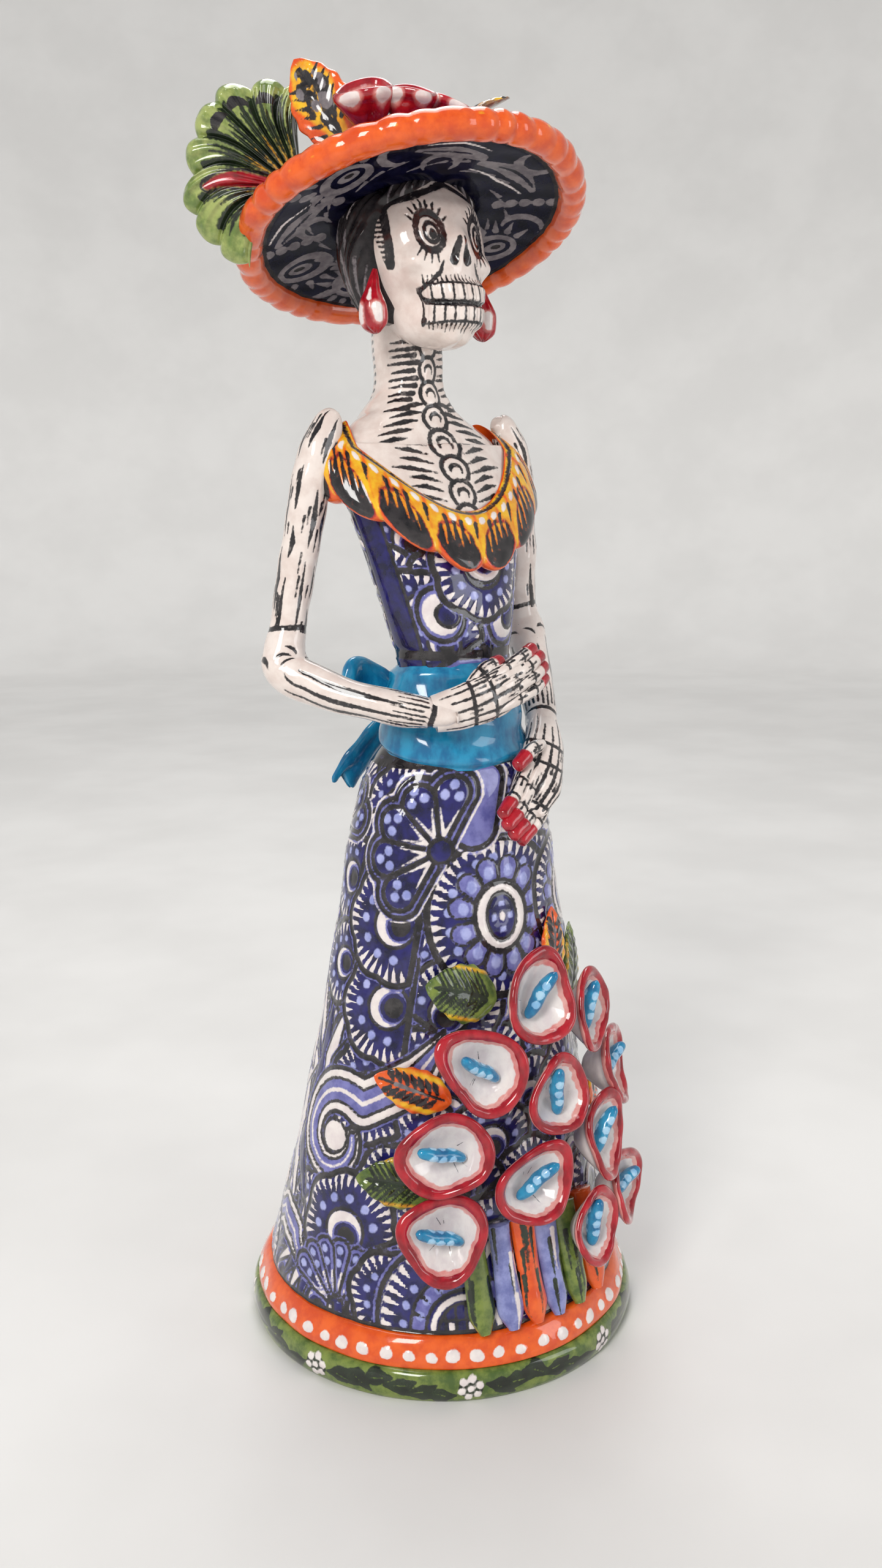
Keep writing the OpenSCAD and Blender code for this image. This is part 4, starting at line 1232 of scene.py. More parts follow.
def make_brim():
    """The broad disc: dark and painted below, indigo above. Below, the near-black ground and the grey motifs
    are partly the brim's own dark glaze and partly painted shade.
    """
    outer = DISC - 1.5
    below = [(9.5, 3.4), (15.6, 1.7), (20, 1.2), (27, 0.0), (outer, -1.1)]
    above = [(outer, 1.2), (27, 2.5), (20, 3.8), (16.4, 4.5)]
    section = np.vstack([spline(below, 62), spline(above, 52)])
    rows, cols = len(section), 420
    angle = np.linspace(-math.pi, math.pi, cols, endpoint=False)[None] * np.ones((rows, 1))
    radius, z = section[:, :1], section[:, 1:]
    points = np.stack([radius * np.sin(angle), -radius * np.cos(angle), z * np.ones_like(angle)], -1)
    top = np.arange(rows)[:, None] >= 62
    place = radius + np.where(top, 100, 0)
    paint = Paint(angle, place * np.ones_like(angle),
                  ("grey", "periwinkle", "navy", "white", "lavender", "black"),
                  scale=radius * np.ones_like(angle), period=TAU)
    deg = math.radians
    # The underside's motifs are grey: pale paint darkened as painted shade
    for a, radius_at, size, turn in ((-66, 24, 6.4, 0.3), (98, 24, 6.0, 2.6), (-146, 24.5, 6.2, 1.2),
                                     (178, 24, 5.4, 0)):
        feathered_eye(paint, deg(a), radius_at, size, turn)
    for a, radius_at, size, turn in ((27, 24, 8.0, 0.2), (-14, 25, 7.0, 3.0), (142, 24.5, 7.4, 0.4),
                                     (-106, 24.5, 7.0, 2.7)):
        swirl_bands(paint, deg(a), radius_at, size, turn)
    for start in (56, 120, -84, -124):
        for k in range(5):
            near, x, y = paint.at(deg(start), 18.6 + 2.8 * k, 3)
            paint.add("grey", near, disc(x, y, 0, 0, 1.5, 0.85))
    for a in (74, -168, -40):
        near, x, y = paint.at(deg(a), 25.5, 6)
        paint.add("grey", near, np.maximum(disc(x, y, 0, 0, 3.8, 1.2), -disc(x, y, 1.4, 0.2, 3.3, 1.2)))
    for k in range(30):
        near, x, y = paint.at(TAU * k / 30 + 0.1, 18.2 + 1.3 * (k % 3), 5)
        paint.add("grey", near, stroke(x, y, [(-1.5, -0.6), (1.8, 0.8)], [0.12, 0.5]))
    # Upper side: fans in the skirt's manner
    for k in range(7):
        fan(paint, deg(51 * k + 12), 124.6, 5.6, 0, True)
    for k in range(7):
        drops(paint, deg(51.4 * k + 37), 118.2, 9.5, 0, 3)
    border = np.minimum(np.abs(radius - outer) - 2.2, FAR) * np.ones_like(angle)
    paint.layers["black"] = np.minimum(paint.layers["black"], border)
    paint.layers["grey"] = np.where(top, FAR, paint.layers["grey"])
    paint.layers["periwinkle"] = np.where(top, np.maximum(-1, -paint.layers["navy"]), FAR)
    points = points + np.array([0, 0, 1]) * (wobble(points, 11, 0.14, 101) * np.where(top, 1, 0.7))[..., None]
    lift = relief(paint, 0.12, 0.12) * np.where(top, 1, -1)
    points[..., 2] += lift
    # The near-black ground shows only below: the brim's dark glaze, deepened by painted shade
    colour = glaze("brim_paint", INK_AND_SHADE, ("grey", "periwinkle", "navy", "white", "lavender", "black"),
                   shine=0.12)
    faces = grid_faces(rows, cols, wrap_cols=True)
    piece("brim", on_head(points), faces, colour, ["hat_brim"], paint.layers, tube_caps(rows, cols))


def make_crown():
    keys = [(16.8, 3.6), (18.0, 4.6), (17.9, 6.5), (17.4, 9), (16.4, 11.3), (14.4, 13.1), (9, 14.7),
            (4, 15.2), (0.1, 15.3)]
    section = spline(keys, 110)
    rows, cols = len(section), 330
    angle = np.linspace(-math.pi, math.pi, cols, endpoint=False)[None] * np.ones((rows, 1))
    radius, z = section[:, :1], section[:, 1:]
    points = np.stack([radius * np.sin(angle), -radius * np.cos(angle), z * np.ones_like(angle)], -1)
    step = np.linalg.norm(np.diff(section, axis=0), axis=1)
    along = np.concatenate([[0], np.cumsum(step)])[:, None] * np.ones_like(angle)
    paint = Paint(angle, along, BLUES, scale=np.maximum(radius, 3) * np.ones_like(angle), period=TAU)
    for k in range(7):
        fan(paint, TAU * (k + 0.5) / 7, 11.6, 6.6, 0)
        fan(paint, TAU * k / 7, 3.4, 8.2, 0)
    ring = np.abs(along - 23) - 1.2
    paint.layers["navy"] = np.minimum(paint.layers["navy"], 24.5 - along)
    paint.layers["white"] = np.minimum(paint.layers["white"], ring)
    paint.layers["black"] = np.minimum(paint.layers["black"], np.abs(ring) - 0.3)
    height = relief(paint) + wobble(points, 12, 0.2, 111)
    points = points + outward_normals(points) * height[..., None]
    colour = glaze("crown_paint", PERIWINKLE, BLUES)
    faces = grid_faces(rows, cols, wrap_cols=True)
    piece("crown", on_head(points), faces, colour, ["hat_crown"], paint.layers,
          tube_caps(rows, cols))


def make_rim():
    """Rolled rim, pinched by a tool into small lobes."""
    rows, cols = 56, 640
    round_rim = np.linspace(0, TAU, rows, endpoint=False)[:, None] * np.ones((1, cols))
    angle = np.linspace(0, TAU, cols, endpoint=False)[None] * np.ones((rows, 1))
    lobes = 42
    uneven = angle + 0.028 * np.sin(angle * 5) + 0.018 * np.sin(angle * 13 + 1)
    pinch = np.abs(np.sin(uneven * lobes / 2 + 0.25 * np.sin(round_rim))) ** 1.1
    outside = 0.35 + 0.65 * smooth(-0.9, 0.5, np.cos(round_rim))
    tube_r = 3.02 - (0.36 + 0.14 * np.sin(angle * 9 + 2)) * (1 - pinch) * outside
    centre = DISC + 0.12 * np.sin(angle * 7)
    radius = centre + tube_r * np.cos(round_rim)
    z = tube_r * np.sin(round_rim) + 0.18 * np.sin(angle * 3 + 1)
    points = np.stack([radius * np.sin(angle), -radius * np.cos(angle), z], -1)
    paint = Paint(angle, round_rim * 3.0, ("yellow", "red"), scale=36.0, period=TAU)
    r = rng(121)
    for k in range(lobes):
        a = TAU * (k + 0.5) / lobes
        near, x, y = paint.at(a, r.uniform(-0.6, 1.4) % (TAU * 3.0), 2.4)
        if r.uniform() < 0.6:
            paint.add("yellow", near, disc(x, y, 0, 0, r.uniform(0.1, 0.55), 0.8) + 0.1)
        near, x, y = paint.at(a + TAU / lobes / 2, 1.5, 9)
        paint.add("red", near, stroke(x, y, [(0, -4), (0, 4)], [0.1, 0.3]) + 0.25)
    points += wobble(points, 18, 0.12, 122)[..., None] * np.array([0, 0, 1])
    colour = glaze("rim_paint", ORANGE, ("red", "yellow"))
    faces = grid_faces(rows, cols, wrap_rows=True, wrap_cols=True)
    piece("rim", on_head(points), faces, colour, ["hat_rim"], paint.layers)


def make_plume():
    """Broad fan of feathers laid side by side, curling down over the brim."""
    root = np.array([-25.5, 13.2, 241])
    rows, cols = 150, 330
    s = np.linspace(0, 1, rows)[:, None] * np.ones((1, cols))
    k = np.linspace(-0.6, 7.6, cols)[None] * np.ones((rows, 1))
    feather = np.abs(((k + 0.5) % 1) - 0.5) * 2
    round_tip = 1 - 0.08 * feather**2.4 + 0.025 * np.sin(k * 1.7) + 0.012 * np.sin(k * 4.3)
    a = np.radians(-42 + 20 * k + 14 * np.sin(s * math.pi) * np.sin(k * 0.5 + 0.8) - 4)
    length = 22.3 * s**0.85 * round_tip * (1 - 0.14 * smooth(4, 7, k) - 0.12 * smooth(2, 0, k))
    out = np.array([-0.8, 0.6, 0.0])
    direction = np.cos(a)[..., None] * out + np.sin(a)[..., None] * np.array([0, 0, 1.0])
    point = root + length[..., None] * direction
    hang = np.maximum(0, -np.sin(a)) * 4 * np.sin(s * math.pi) * 0.8
    point[..., 2] += hang
    face = np.array([0.6, 0.8, 0.05])
    swell = np.sqrt(np.clip(1 - feather**2, 0, 1))
    thick = (1.1 + 1.0 * swell) * (0.75 + 0.45 * np.sin(np.clip(s, 0, 1) * math.pi * 0.8))
    ribs = 0.2 * np.sin(k * TAU * 3 + 3 * s) * smooth(0.1, 0.4, s)
    tip_taper = np.sqrt(np.clip((1 - s) * 14, 0.02, 1))
    side_taper = np.sqrt(np.clip(np.minimum(k + 0.6, 7.6 - k) * 4, 0.05, 1))
    thick = (thick + ribs) * tip_taper * side_taper
    arch = 1.4 * np.sin(k * 0.9 + 1) * s
    paint = Paint(k, s * 22, ("yellow", "red", "dark_green", "black"), scale=4.6 * np.maximum(s, 0.2))
    r = rng(131)
    for j in range(8):
        near, x, y = paint.at(j + 0.5, 11, 14)
        paint.add("dark_green", near, stroke(x, y, [(0, -10), (0.0, 8)], [0.3, 0.6]))
        for line in range(4):
            near, x, y = paint.at(j - 0.34 + 0.22 * line, r.uniform(9, 14), 12)
            path = [(0, -6), (r.uniform(-0.4, 0.4), 0), (0, r.uniform(3, 7))]
            paint.add("dark_green", near, stroke(x, y, path, [0.1, r.uniform(0.22, 0.5), 0.1]))
        near, x, y = paint.at(j + r.uniform(-0.2, 0.2), 17.5, 5)
        if j in (4, 5, 6):
            paint.add("black", near, disc(x, y, 0, 0, 1.5, 0.8))
        near, x, y = paint.at(j + 0.1, 6, 6)
        paint.add("yellow", near, stroke(x, y, [(0, -3), (0, 3)], [0.2, 0.35]))
    near, x, y = paint.at(1.75, 9.5, 14)
    stripe = stroke(x, y, [(0.2, -6), (0, 0), (-0.2, 7.5)], [0.5, 1.0, 0.4])
    paint.clear(near, stripe - 0.5)
    paint.add("black", near, stripe - 0.45)
    paint.add("red", near, stripe)
    paint.clear(near, stripe, ("black",))
    front = point - face * (thick + 0.4)[..., None] + face * arch[..., None]
    back = point + face * (thick + 0.1)[..., None] + face * arch[..., None]
    n = rows * cols
    index = np.arange(n).reshape(rows, cols)
    rim = np.concatenate([index[0, :-1], index[:-1, -1], index[-1, :0:-1], index[:0:-1, 0]])
    after = np.roll(rim, -1)
    faces = grid_faces(rows, cols)
    walls = np.stack([rim, rim + n, after + n, after], -1)
    points = np.concatenate([front.reshape(-1, 3), back.reshape(-1, 3)])
    everything = np.concatenate([faces[:, ::-1], faces + n, walls[:, ::-1]])
    layers = {c: np.concatenate([v.ravel(), v.ravel()]) for c, v in paint.layers.items()}
    colour = glaze("plume_paint", PALE_GREEN, ("yellow", "dark_green", "red", "black"))
    piece("plume", points, everything, colour, ["hat_plume"], layers)


def blade(length, width, thick, bend, rows=84, cols=60):
    """Leaf along +X, its flat side down, with a mid rib and veins on its upper side.
    Returns points, with the place along and across in mm and which are on top."""
    s = (1 - np.cos(np.linspace(0, math.pi, rows)))[:, None] / 2 * np.ones((1, cols))
    a = np.linspace(0, TAU, cols, endpoint=False)[None] * np.ones((rows, 1))
    half = np.maximum(0.12, width / 2 * np.sin(math.pi * s**0.85) ** 0.7)
    half = half * (1 + 0.035 * np.sin(s * 34))
    half[[0, -1]] = 0.08
    across = half * np.cos(a)
    body = np.maximum(0.1, thick / 2 * np.sin(np.radians(20 + 150 * s)))
    top = np.sin(a) > 0
    groove = 0.34 * np.exp(-((across / 0.5) ** 2)) * smooth(0.02, 0.12, s) * smooth(1, 0.9, s)
    veins = 0.12 * np.sin((s * length - np.abs(across) * 0.9) * 2.4) * smooth(0.2, 1.2, np.abs(across))
    rolled = 0.3 * smooth(0.62, 0.98, np.abs(np.cos(a)))
    up = np.where(top, rolled - groove + veins, 0) * np.sqrt(np.abs(np.sin(a)))
    z = body * (1 + np.sin(a)) + bend * s * s + up * smooth(0, 0.1, s) * smooth(1, 0.93, s)
    return np.stack([length * s, across, z], -1), s * length, across, top


def leaf_paint(along, across, top, length, width, seed, kind):
    """Brush work of a leaf: its own edge colour, dark slanting strokes and a mid line."""
    colours = ("yellow", "grey", "dark_green", "black")
    paint = Paint(across, along, colours, scale=1.0)
    near, x, y = paint.at(0, 0, 100)
    r = rng(seed)
    core = stroke(x, y, [(0, length * 0.16), (0, length * 0.5), (0, length * 0.88)], [0.3, width * 0.25, 0.2])
    if kind == "green":
        paint.add("dark_green", near, core)
        for k in range(9):
            y0 = length * (0.16 + 0.075 * k)
            for side in (-1, 1):
                tip = (side * width * 0.42, y0 + width * 0.3)
                paint.add("dark_green", near, stroke(x, y, [(side * 0.4, y0), tip], [0.5, 0.14]))
                cut = [(side * 0.5, y0 + 0.65), (side * width * 0.3, y0 + width * 0.22 + 0.65)]
                paint.clear(near, stroke(x, y, cut, [0.14, 0.2]), ("dark_green",))
        paint.add("yellow", near, np.abs(np.abs(x) - width * 0.42) - 0.3)
    elif kind == "petal":
        heart = stroke(x, y, [(0, length * 0.14), (0, length * 0.6), (0, length * 0.82)],
                       [0.8, width * 0.31, width * 0.14])
        paint.add("yellow", near, heart - width * 0.07)
        for k in range(26):
            spot = disc(x, y, width * r.uniform(-0.28, 0.28), length * r.uniform(0.2, 0.86),
                        r.uniform(0.7, 1.4), 1.7)
            paint.add("grey" if k % 4 == 0 else "black", near, np.maximum(spot, heart))
        for k in range(12):
            at = length * (0.25 + 0.05 * k)
            tip = width * r.uniform(0.34, 0.44) * (-1) ** k
            paint.add("black", near, stroke(x, y, [(tip * 0.5, at - 1), (tip, at + 0.6)], [0.5, 0.1]))
    else:
        paint.add("yellow", near, np.abs(np.abs(x) - width * 0.36) - width * 0.06)
        for k in range(7):
            y0 = length * (0.2 + 0.095 * k)
            for side in (-1, 1):
                lozenge = [(side * 0.6, y0), (side * width * 0.2, y0 + 0.9), (side * width * 0.32, y0 + 1.9)]
                paint.add("black", near, stroke(x, y, lozenge, [0.3, 0.75, 0.15]))
        paint.add("black", near, stroke(x, y, [(0, length * 0.1), (0, length * 0.93)], [0.25, 0.3]))
        paint.add("grey", near, stroke(x, y, [(0.2, length * 0.3), (0, length * 0.72)], [0.2, 0.5]))
    for colour in colours:
        paint.layers[colour] = np.where(top, paint.layers[colour], FAR)
    return paint.layers


LEAF_LAYERS = ("yellow", "dark_green", "black", "grey")


def make_hat_leaves():
    points, along, across, top = blade(21, 12, 2.6, 1)
    # The big petal's sides curl up round a dark heart
    points[..., 2] += np.where(top, 0.5, 0.1) * smooth(0.45, 1, np.abs(across) / 6)
    layers = leaf_paint(along, across, top, 21, 12, 141, "petal")
    placed = turned(points, (-20, 1.8, 246.2), ("x", -80), ("y", -54), ("z", 113))
    faces = grid_faces(84, 60, wrap_cols=True)
    colour = glaze("petal_paint", ORANGE, LEAF_LAYERS)
    piece("petal", placed, faces, colour, ["hat_petal"], layers, tube_caps(84, 60))
    points, along, across, top = blade(12, 7, 1.8, 1)
    layers = leaf_paint(along, across, top, 12, 7, 142, "orange")
    placed = turned(points, (-1.5, -7, 251.5), ("y", -22), ("z", -20))
    colour = glaze("small_leaf_paint", BROWN, LEAF_LAYERS)
    piece("small_leaf", placed, faces, colour, ["hat_leaf"], layers, tube_caps(84, 60))


# ---- Flowers ----

def cup(d, h, tip, rows=110, cols=90, seed=0, ruffle=0.0):
    """Calla lily opening along +Z: narrow throat, thick rolled lip, lip drawn to a tip at +X.
    Returns the grid of points and the share of the way from outside to inside."""
    r = d / 2
    keys = [(0.16, 0.02, 0), (0.30, 0.1, 0), (0.5, 0.3, 0), (0.72, 0.54, 0.5), (0.84, 0.7, 1), (0.95, 0.8, 1),
            (1.0, 0.88, 1), (0.985, 0.96, 1), (0.92, 1.0, 1), (0.84, 0.985, 1), (0.77, 0.92, 1),
            (0.7, 0.82, 1), (0.56, 0.68, 0.8), (0.4, 0.54, 0.5), (0.22, 0.44, 0.2), (0.03, 0.4, 0)]
    section = spline(keys, rows)
    a = np.linspace(-math.pi, math.pi, cols, endpoint=False)[None] * np.ones((rows, 1))
    pull = np.maximum(0, np.cos(a)) ** 3 * section[:, 2:] * tip
    uneven = 0.075 * np.sin(a * 2 + seed * 1.3) + 0.05 * np.sin(a * 3 + seed) + ruffle * np.sin(a * 5 + seed)
    wave = 1 - 0.05 * section[:, 2:] + section[:, 2:] * uneven
    radius = r * section[:, :1] * wave
    x = radius * (1 + pull) * np.cos(a)
    y = radius * (1 + 0.1 * tip) * np.sin(a)
    # The spathe wraps over itself at the back of the throat
    z = h * section[:, 1:2] + r * 0.35 * pull - 0.05 * h * section[:, 2:] * np.cos(a * 2 + seed) - 0.05 * h
    return np.stack([x, y, z], -1), np.linspace(0, 1, rows)[:, None] * np.ones_like(a), a


def skirt_place(angle_deg, z, grow):
    k = softened(SKIRT, 160)
    a = math.radians(angle_deg)
    cy, rx, ry = (np.interp(z, k[:, 0], k[:, c]) for c in (1, 2, 3))
    return ((rx + grow) * math.sin(a), cy - (ry + grow) * math.cos(a), z)


def on_face(points, angle_deg, z, grow, turn):
    """Points built flat, then stood on the skirt: +Z looks out, +X is turned from level."""
    return turned(points, skirt_place(angle_deg, z, grow), ("z", turn), ("x", 76), ("z", angle_deg))


# [angle from the front, height, turn of the tip, size]
CALLAS = [
    (-1, 79, 60, 1), (-21, 67, 150, 1), (5, 58, 100, 0.92), (-33, 51, 170, 1), (-8, 42, 40, 0.95),
    (-34, 34.5, 165, 1), (24, 45, 60, 0.95), (27, 72, 80, 0.9), (41, 57, 20, 0.95), (34, 31, 10, 0.9),
    (14, 28, 90, 0.85)]
# [angle, height, direction, width]
LEAVES = [(-11, 80, 162, 12), (-31, 60, 158, 9), (-36, 43, 172, 10.5), (20, 79, 75, 9), (36, 74, 60, 9),
          (50, 46, 10, 10)]
LIP = 0.565  # where along the cup's section its lip is fullest


def make_callas():
    colour = glaze("lily_paint", PINK, ("white", "grey", "red"), streak=(1, 1, 0.6))
    rows, cols = 110, 90
    for k, (angle, z, turn, size) in enumerate(CALLAS):
        points, share, a = cup(18 * size, 8.5 * size, 0.30, rows, cols, k * 1.7)
        paint = Paint(a, share * 30, ("white", "grey", "red"), scale=7.5 * size, period=TAU)
        inner = share - LIP
        brush = 0.016 * np.sin(a * 5 + k) + 0.006 * np.sin(a * 17 + 2 * k)
        paint.layers["red"] = (np.abs(inner + 0.02) - 0.13 - brush) * 30
        paint.layers["white"] = np.where(inner > 0, (0.175 + brush - inner) * 20, (inner + 0.26) * 20)
        r = rng(150 + k)
        for _ in range(4):
            near, x, y = paint.at(r.uniform(-3.1, 3.1), 26, 8)
            paint.add("grey", near, stroke(x, y, [(0, -2.5), (0.3, 1.5)], [0.1, 0.5]) + 0.2)
        lip = bump(share, LIP, 0.14)
        points = points + outward_normals(points) * (wobble(points, 5, 0.13, 160 + k) * lip)[..., None]
        placed = on_face(points, angle, z, 1.4, turn)
        faces = grid_faces(rows, cols, wrap_cols=True)
        name = "lily_%d" % (k + 1)
        piece(name, placed, faces, colour, ["calla_%d" % (k + 1)], paint.layers,
              tube_caps(rows, cols))


SPADIX_SIDES = (0.4, 2.5, 4.6)


def make_spadices():
    parts = []
    rows, cols = 40, 24
    for k, (angle, z, turn, size) in enumerate(CALLAS):
        s = 8.5 * size
        keys = [(-3.4, 0.3, s * 0.5, 0.3, 0.3), (-2.8, 0.3, s * 0.56, 1.1, 1.0),
                (-0.6, 0, s * 0.66, 1.5, 1.35), (2.0, 0.2, s * 0.78, 1.6, 1.4),
                (4.4, 0, s * 0.94, 1.45, 1.3), (5.9, -0.2, s * 1.05, 1.0, 0.95),
                (6.6, -0.2, s * 1.1, 0.1, 0.1)]
        points, along, around = tube(keys, rows, cols, (0, 1, 0.1))
        paint = Paint(around, along, ("sky", "black"), scale=1.2, period=TAU)
        for j in range(3):
            for side in SPADIX_SIDES:
                near, x, y = paint.at(side, 3.4 + 2.3 * j, 2.2)
                paint.add("sky", near, disc(x, y, 0, 0, 0.78, 1.15))
        points = points + outward_normals(points) * (0.12 * smooth(0.2, -0.3, paint.layers["sky"]))[..., None]
        parts.append((on_face(points, angle, z, 1.4, turn), grid_faces(rows, cols, wrap_cols=True),
                      paint.layers))
    points, faces, layers = merged(parts)
    colour = glaze("spadix_paint", TURQUOISE, ("sky",))
    rings = [range(k * rows * cols + c, k * rows * cols + c + cols)
             for k in range(len(CALLAS)) for c in (0, (rows - 1) * cols)]
    piece("spadices", points, faces, colour, ["calla_spadices"], layers, rings)


def make_leaves():
    paints = (glaze("green_leaf_paint", GREEN, LEAF_LAYERS), glaze("orange_leaf_paint", ORANGE, LEAF_LAYERS))
    for k, (angle, z, turn, width) in enumerate(LEAVES):
        kind = "green" if k % 2 == 0 else "orange"
        points, along, across, top = blade(17, width, 2.0, 1.6)
        layers = leaf_paint(along, across, top, 17, width, 170 + k, kind)
        placed = on_face(points, angle, z, 0.5, turn)
        faces = grid_faces(84, 60, wrap_cols=True)
        name = "blade_%d" % (k + 1)
        piece(name, placed, faces, paints[k % 2], ["leaf_%d" % (k + 1)], layers, tube_caps(84, 60))


def make_stems():
    looks = [("leaf_green", GREEN), ("lavender", STEM_BLUE), ("orange", ORANGE)]
    order = (0, 1, 2, 1, 0, 2)
    paints = [glaze("stem_paint_" + slot, tone, ("dark_green", "white")) for slot, tone in looks]
    rows, cols = 60, 32
    for k, angle in enumerate((-24, -15, -7, 1, 10, 20)):
        keys = []
        for i in range(7):
            t = i / 6
            x, y, z = skirt_place(angle * (1 + 0.06 * t), 13.2 + 21 * t, 0.9)
            keys.append((x, y, z, 2.9 * (1 + 0.1 * math.sin(5 * t + k)), 1.8))
        keys[0] = (*keys[0][:3], 1.2, 1.1)
        points, along, around = tube(keys, rows, cols, (0, 1, 0.01))
        paint = Paint(around, along, ("dark_green", "white"), scale=2.2, period=TAU)
        r = rng(180 + k)
        for j in range(10):
            near, x, y = paint.at(r.uniform(0, TAU), r.uniform(2, 18), 6)
            layer = "dark_green" if order[k] != 1 or j % 2 else "white"
            paint.add(layer, near, stroke(x, y, [(0, -4.5), (0.2, 4.2)], [0.12, 0.5]))
        name = "stalk_%d" % (k + 1)
        faces = grid_faces(rows, cols, wrap_cols=True)
        piece(name, points, faces, paints[order[k]], ["stem_%d" % (k + 1)], paint.layers,
              tube_caps(rows, cols))


def make_hat_flowers():
    colour = glaze("hat_flower_paint", RED, ("pink", "white"))
    places = ((-18.2, -1.8, 248), (-12, -4.8, 248.8), (-4.8, -5.6, 249))
    rows, cols = 110, 90
    for k, place in enumerate(places, start=1):
        points, share, a = cup(13 - k, 10.2 - k, 0.1, rows, cols, k * 2.1, 0.05)
        paint = Paint(a, share * 16, ("pink", "white"), scale=5.0, period=TAU)
        r = rng(190 + k)
        for j in range(5):
            near, x, y = paint.at(TAU * j / 5 + 0.4 * k, 6.3, 5)
            patch = disc(x, y, 0, 0, r.uniform(1.7, 2.3), 1.1)
            paint.add("pink", near, patch - 0.35)
            paint.add("white", near, patch)
        inner = (0.14 - (share - LIP)) * 16
        paint.layers["pink"] = np.minimum(paint.layers["pink"], inner)
        placed = turned(points, place, ("z", 40 * k), ("y", 12 * k - 30), ("x", 16))
        faces = grid_faces(rows, cols, wrap_cols=True)
        piece("bloom_%d" % k, placed, faces, colour, ["hat_flower_%d" % k], paint.layers,
              tube_caps(rows, cols))


# ---- Arms and hands ----

RIGHT_ARM = [
    (-20.0, 8, 197.6, 0.3, 0.3), (-20.9, 8, 196.9, 1.9, 1.8), (-22.8, 7.4, 195, 3.2, 3),
    (-26, 7.5, 188, 4.2, 4.2), (-29, 8.5, 172, 4.1, 4.0), (-32, 9, 156, 4.0, 3.9),
    (-33.4, 8, 147.4, 4.6, 4.3), (-30.4, 2.5, 144, 4.3, 4.2),
    (-23, -7, 141, 3.9, 4.0), (-14, -15.6, 138.8, 3.3, 3.9), (-10, -17.9, 139.4, 2.2, 3.6)]
LEFT_ARM = [
    (20.0, 8, 197.6, 0.3, 0.3), (20.8, 7.9, 196.9, 1.9, 1.8), (22.6, 7.2, 195, 3.2, 3),
    (25, 6.7, 188, 4.2, 4.2), (26, 6, 172, 4.1, 4.2), (26.8, 6.2, 157, 4.0, 4.1),
    (26.6, 4, 150.5, 4.5, 4.2), (23.4, -3, 142.4, 4.1, 4.2),
    (19.6, -10, 134.4, 3.6, 3.6), (17.6, -13.2, 131.6, 3.5, 2.6)]


def bone_marks(paint, length, seed, lines=8):
    """Long broken lines along a bone, with short strokes beside them."""
    r = rng(seed)
    for k in range(lines):
        a = TAU * (k + r.uniform(-0.2, 0.2)) / lines
        v = r.uniform(2, 7)
        while v < length - 4:
            run = r.uniform(6, 15)
            near, x, y = paint.at(a, v + run / 2, run)
            path = [(0, -run / 2), (r.uniform(-0.4, 0.4), 0), (0, run / 2)]
            paint.add("black", near, stroke(x, y, path, [0.14, r.uniform(0.45, 0.85), 0.14]))
            for _ in range(r.integers(1, 4)):
                near, x, y = paint.at(a + r.uniform(0.15, 0.45), v + r.uniform(0, run), 4)
                half = r.uniform(1.0, 2.4)
                paint.add("black", near, stroke(x, y, [(0, -half), (0.1, half)], [0.34, 0.12]))
            v += run + r.uniform(1.5, 5)


def make_arm(name, keys, ref, elbow, seed):
    rows, cols = 300, 88
    points, along, around = tube(keys, rows, cols, ref)
    length = along[-1, 0]
    paint = Paint(around, along, BONE_LAYERS, scale=4.1, period=TAU)
    bone_marks(paint, elbow - 6, seed)
    wrist = length - 4.5
    for colour in paint.layers:
        paint.layers[colour] = np.where(along > elbow - 6, FAR, paint.layers[colour])
    r = rng(seed + 1)
    # Elbow: a cuff line and curved strokes, then lines down the forearm
    near, x, y = paint.at(0, 0, 400)
    cuff = elbow - 6.5 + 0.8 * np.sin(around + 0.8)
    paint.add("black", near, ((np.abs(along - cuff) - 0.55) * np.ones_like(around))[near])
    for k in range(14):
        a = r.uniform(0, TAU)
        near, x, y = paint.at(a, elbow + r.uniform(-2, 3.5), 4, r.uniform(-0.6, 0.6))
        paint.add("black", near,
                  stroke(x, y, arc_points(0, 0, 1.9, 3.6, 5.4, 5), [0.12, 0.36, 0.44, 0.36, 0.1]))
    for k in range(8):
        a = TAU * (k + 0.5 * r.uniform()) / 8
        near, x, y = paint.at(a, (elbow + wrist) / 2, 22)
        half = (wrist - elbow) / 2 - r.uniform(2, 6)
        path = [(0, -half), (r.uniform(-0.5, 0.5), 0), (0, half)]
        paint.add("black", near, stroke(x, y, path, [0.25, r.uniform(0.5, 0.8), 0.18]))
    for k in range(20):
        a = TAU * k / 20
        near, x, y = paint.at(a, wrist - r.uniform(3.6, 5), 6)
        paint.add("black", near, stroke(x, y, [(0, -3.6), (0, 2.8)], [0.12, 0.34]))
    near, x, y = paint.at(0, 0, 400)
    paint.add("black", near, (np.abs(along - wrist - 0.3 * np.sin(around * 2)) - 0.5)[near])
    knob = 0.35 * bump(along, elbow, 4.5) * (1 + 0.4 * np.sin(around * 2 + 1)) - 0.2
    height = knob + wobble(points, 11, 0.2, seed) + relief(paint, 0.1, 0)
    points = points + outward_normals(points) * height[..., None]
    faces = grid_faces(rows, cols, wrap_cols=True)
    piece("arm_" + name, points, faces, bone_glaze("arm_bone_" + name), [name + "_arm"],
          paint.layers, tube_caps(rows, cols))


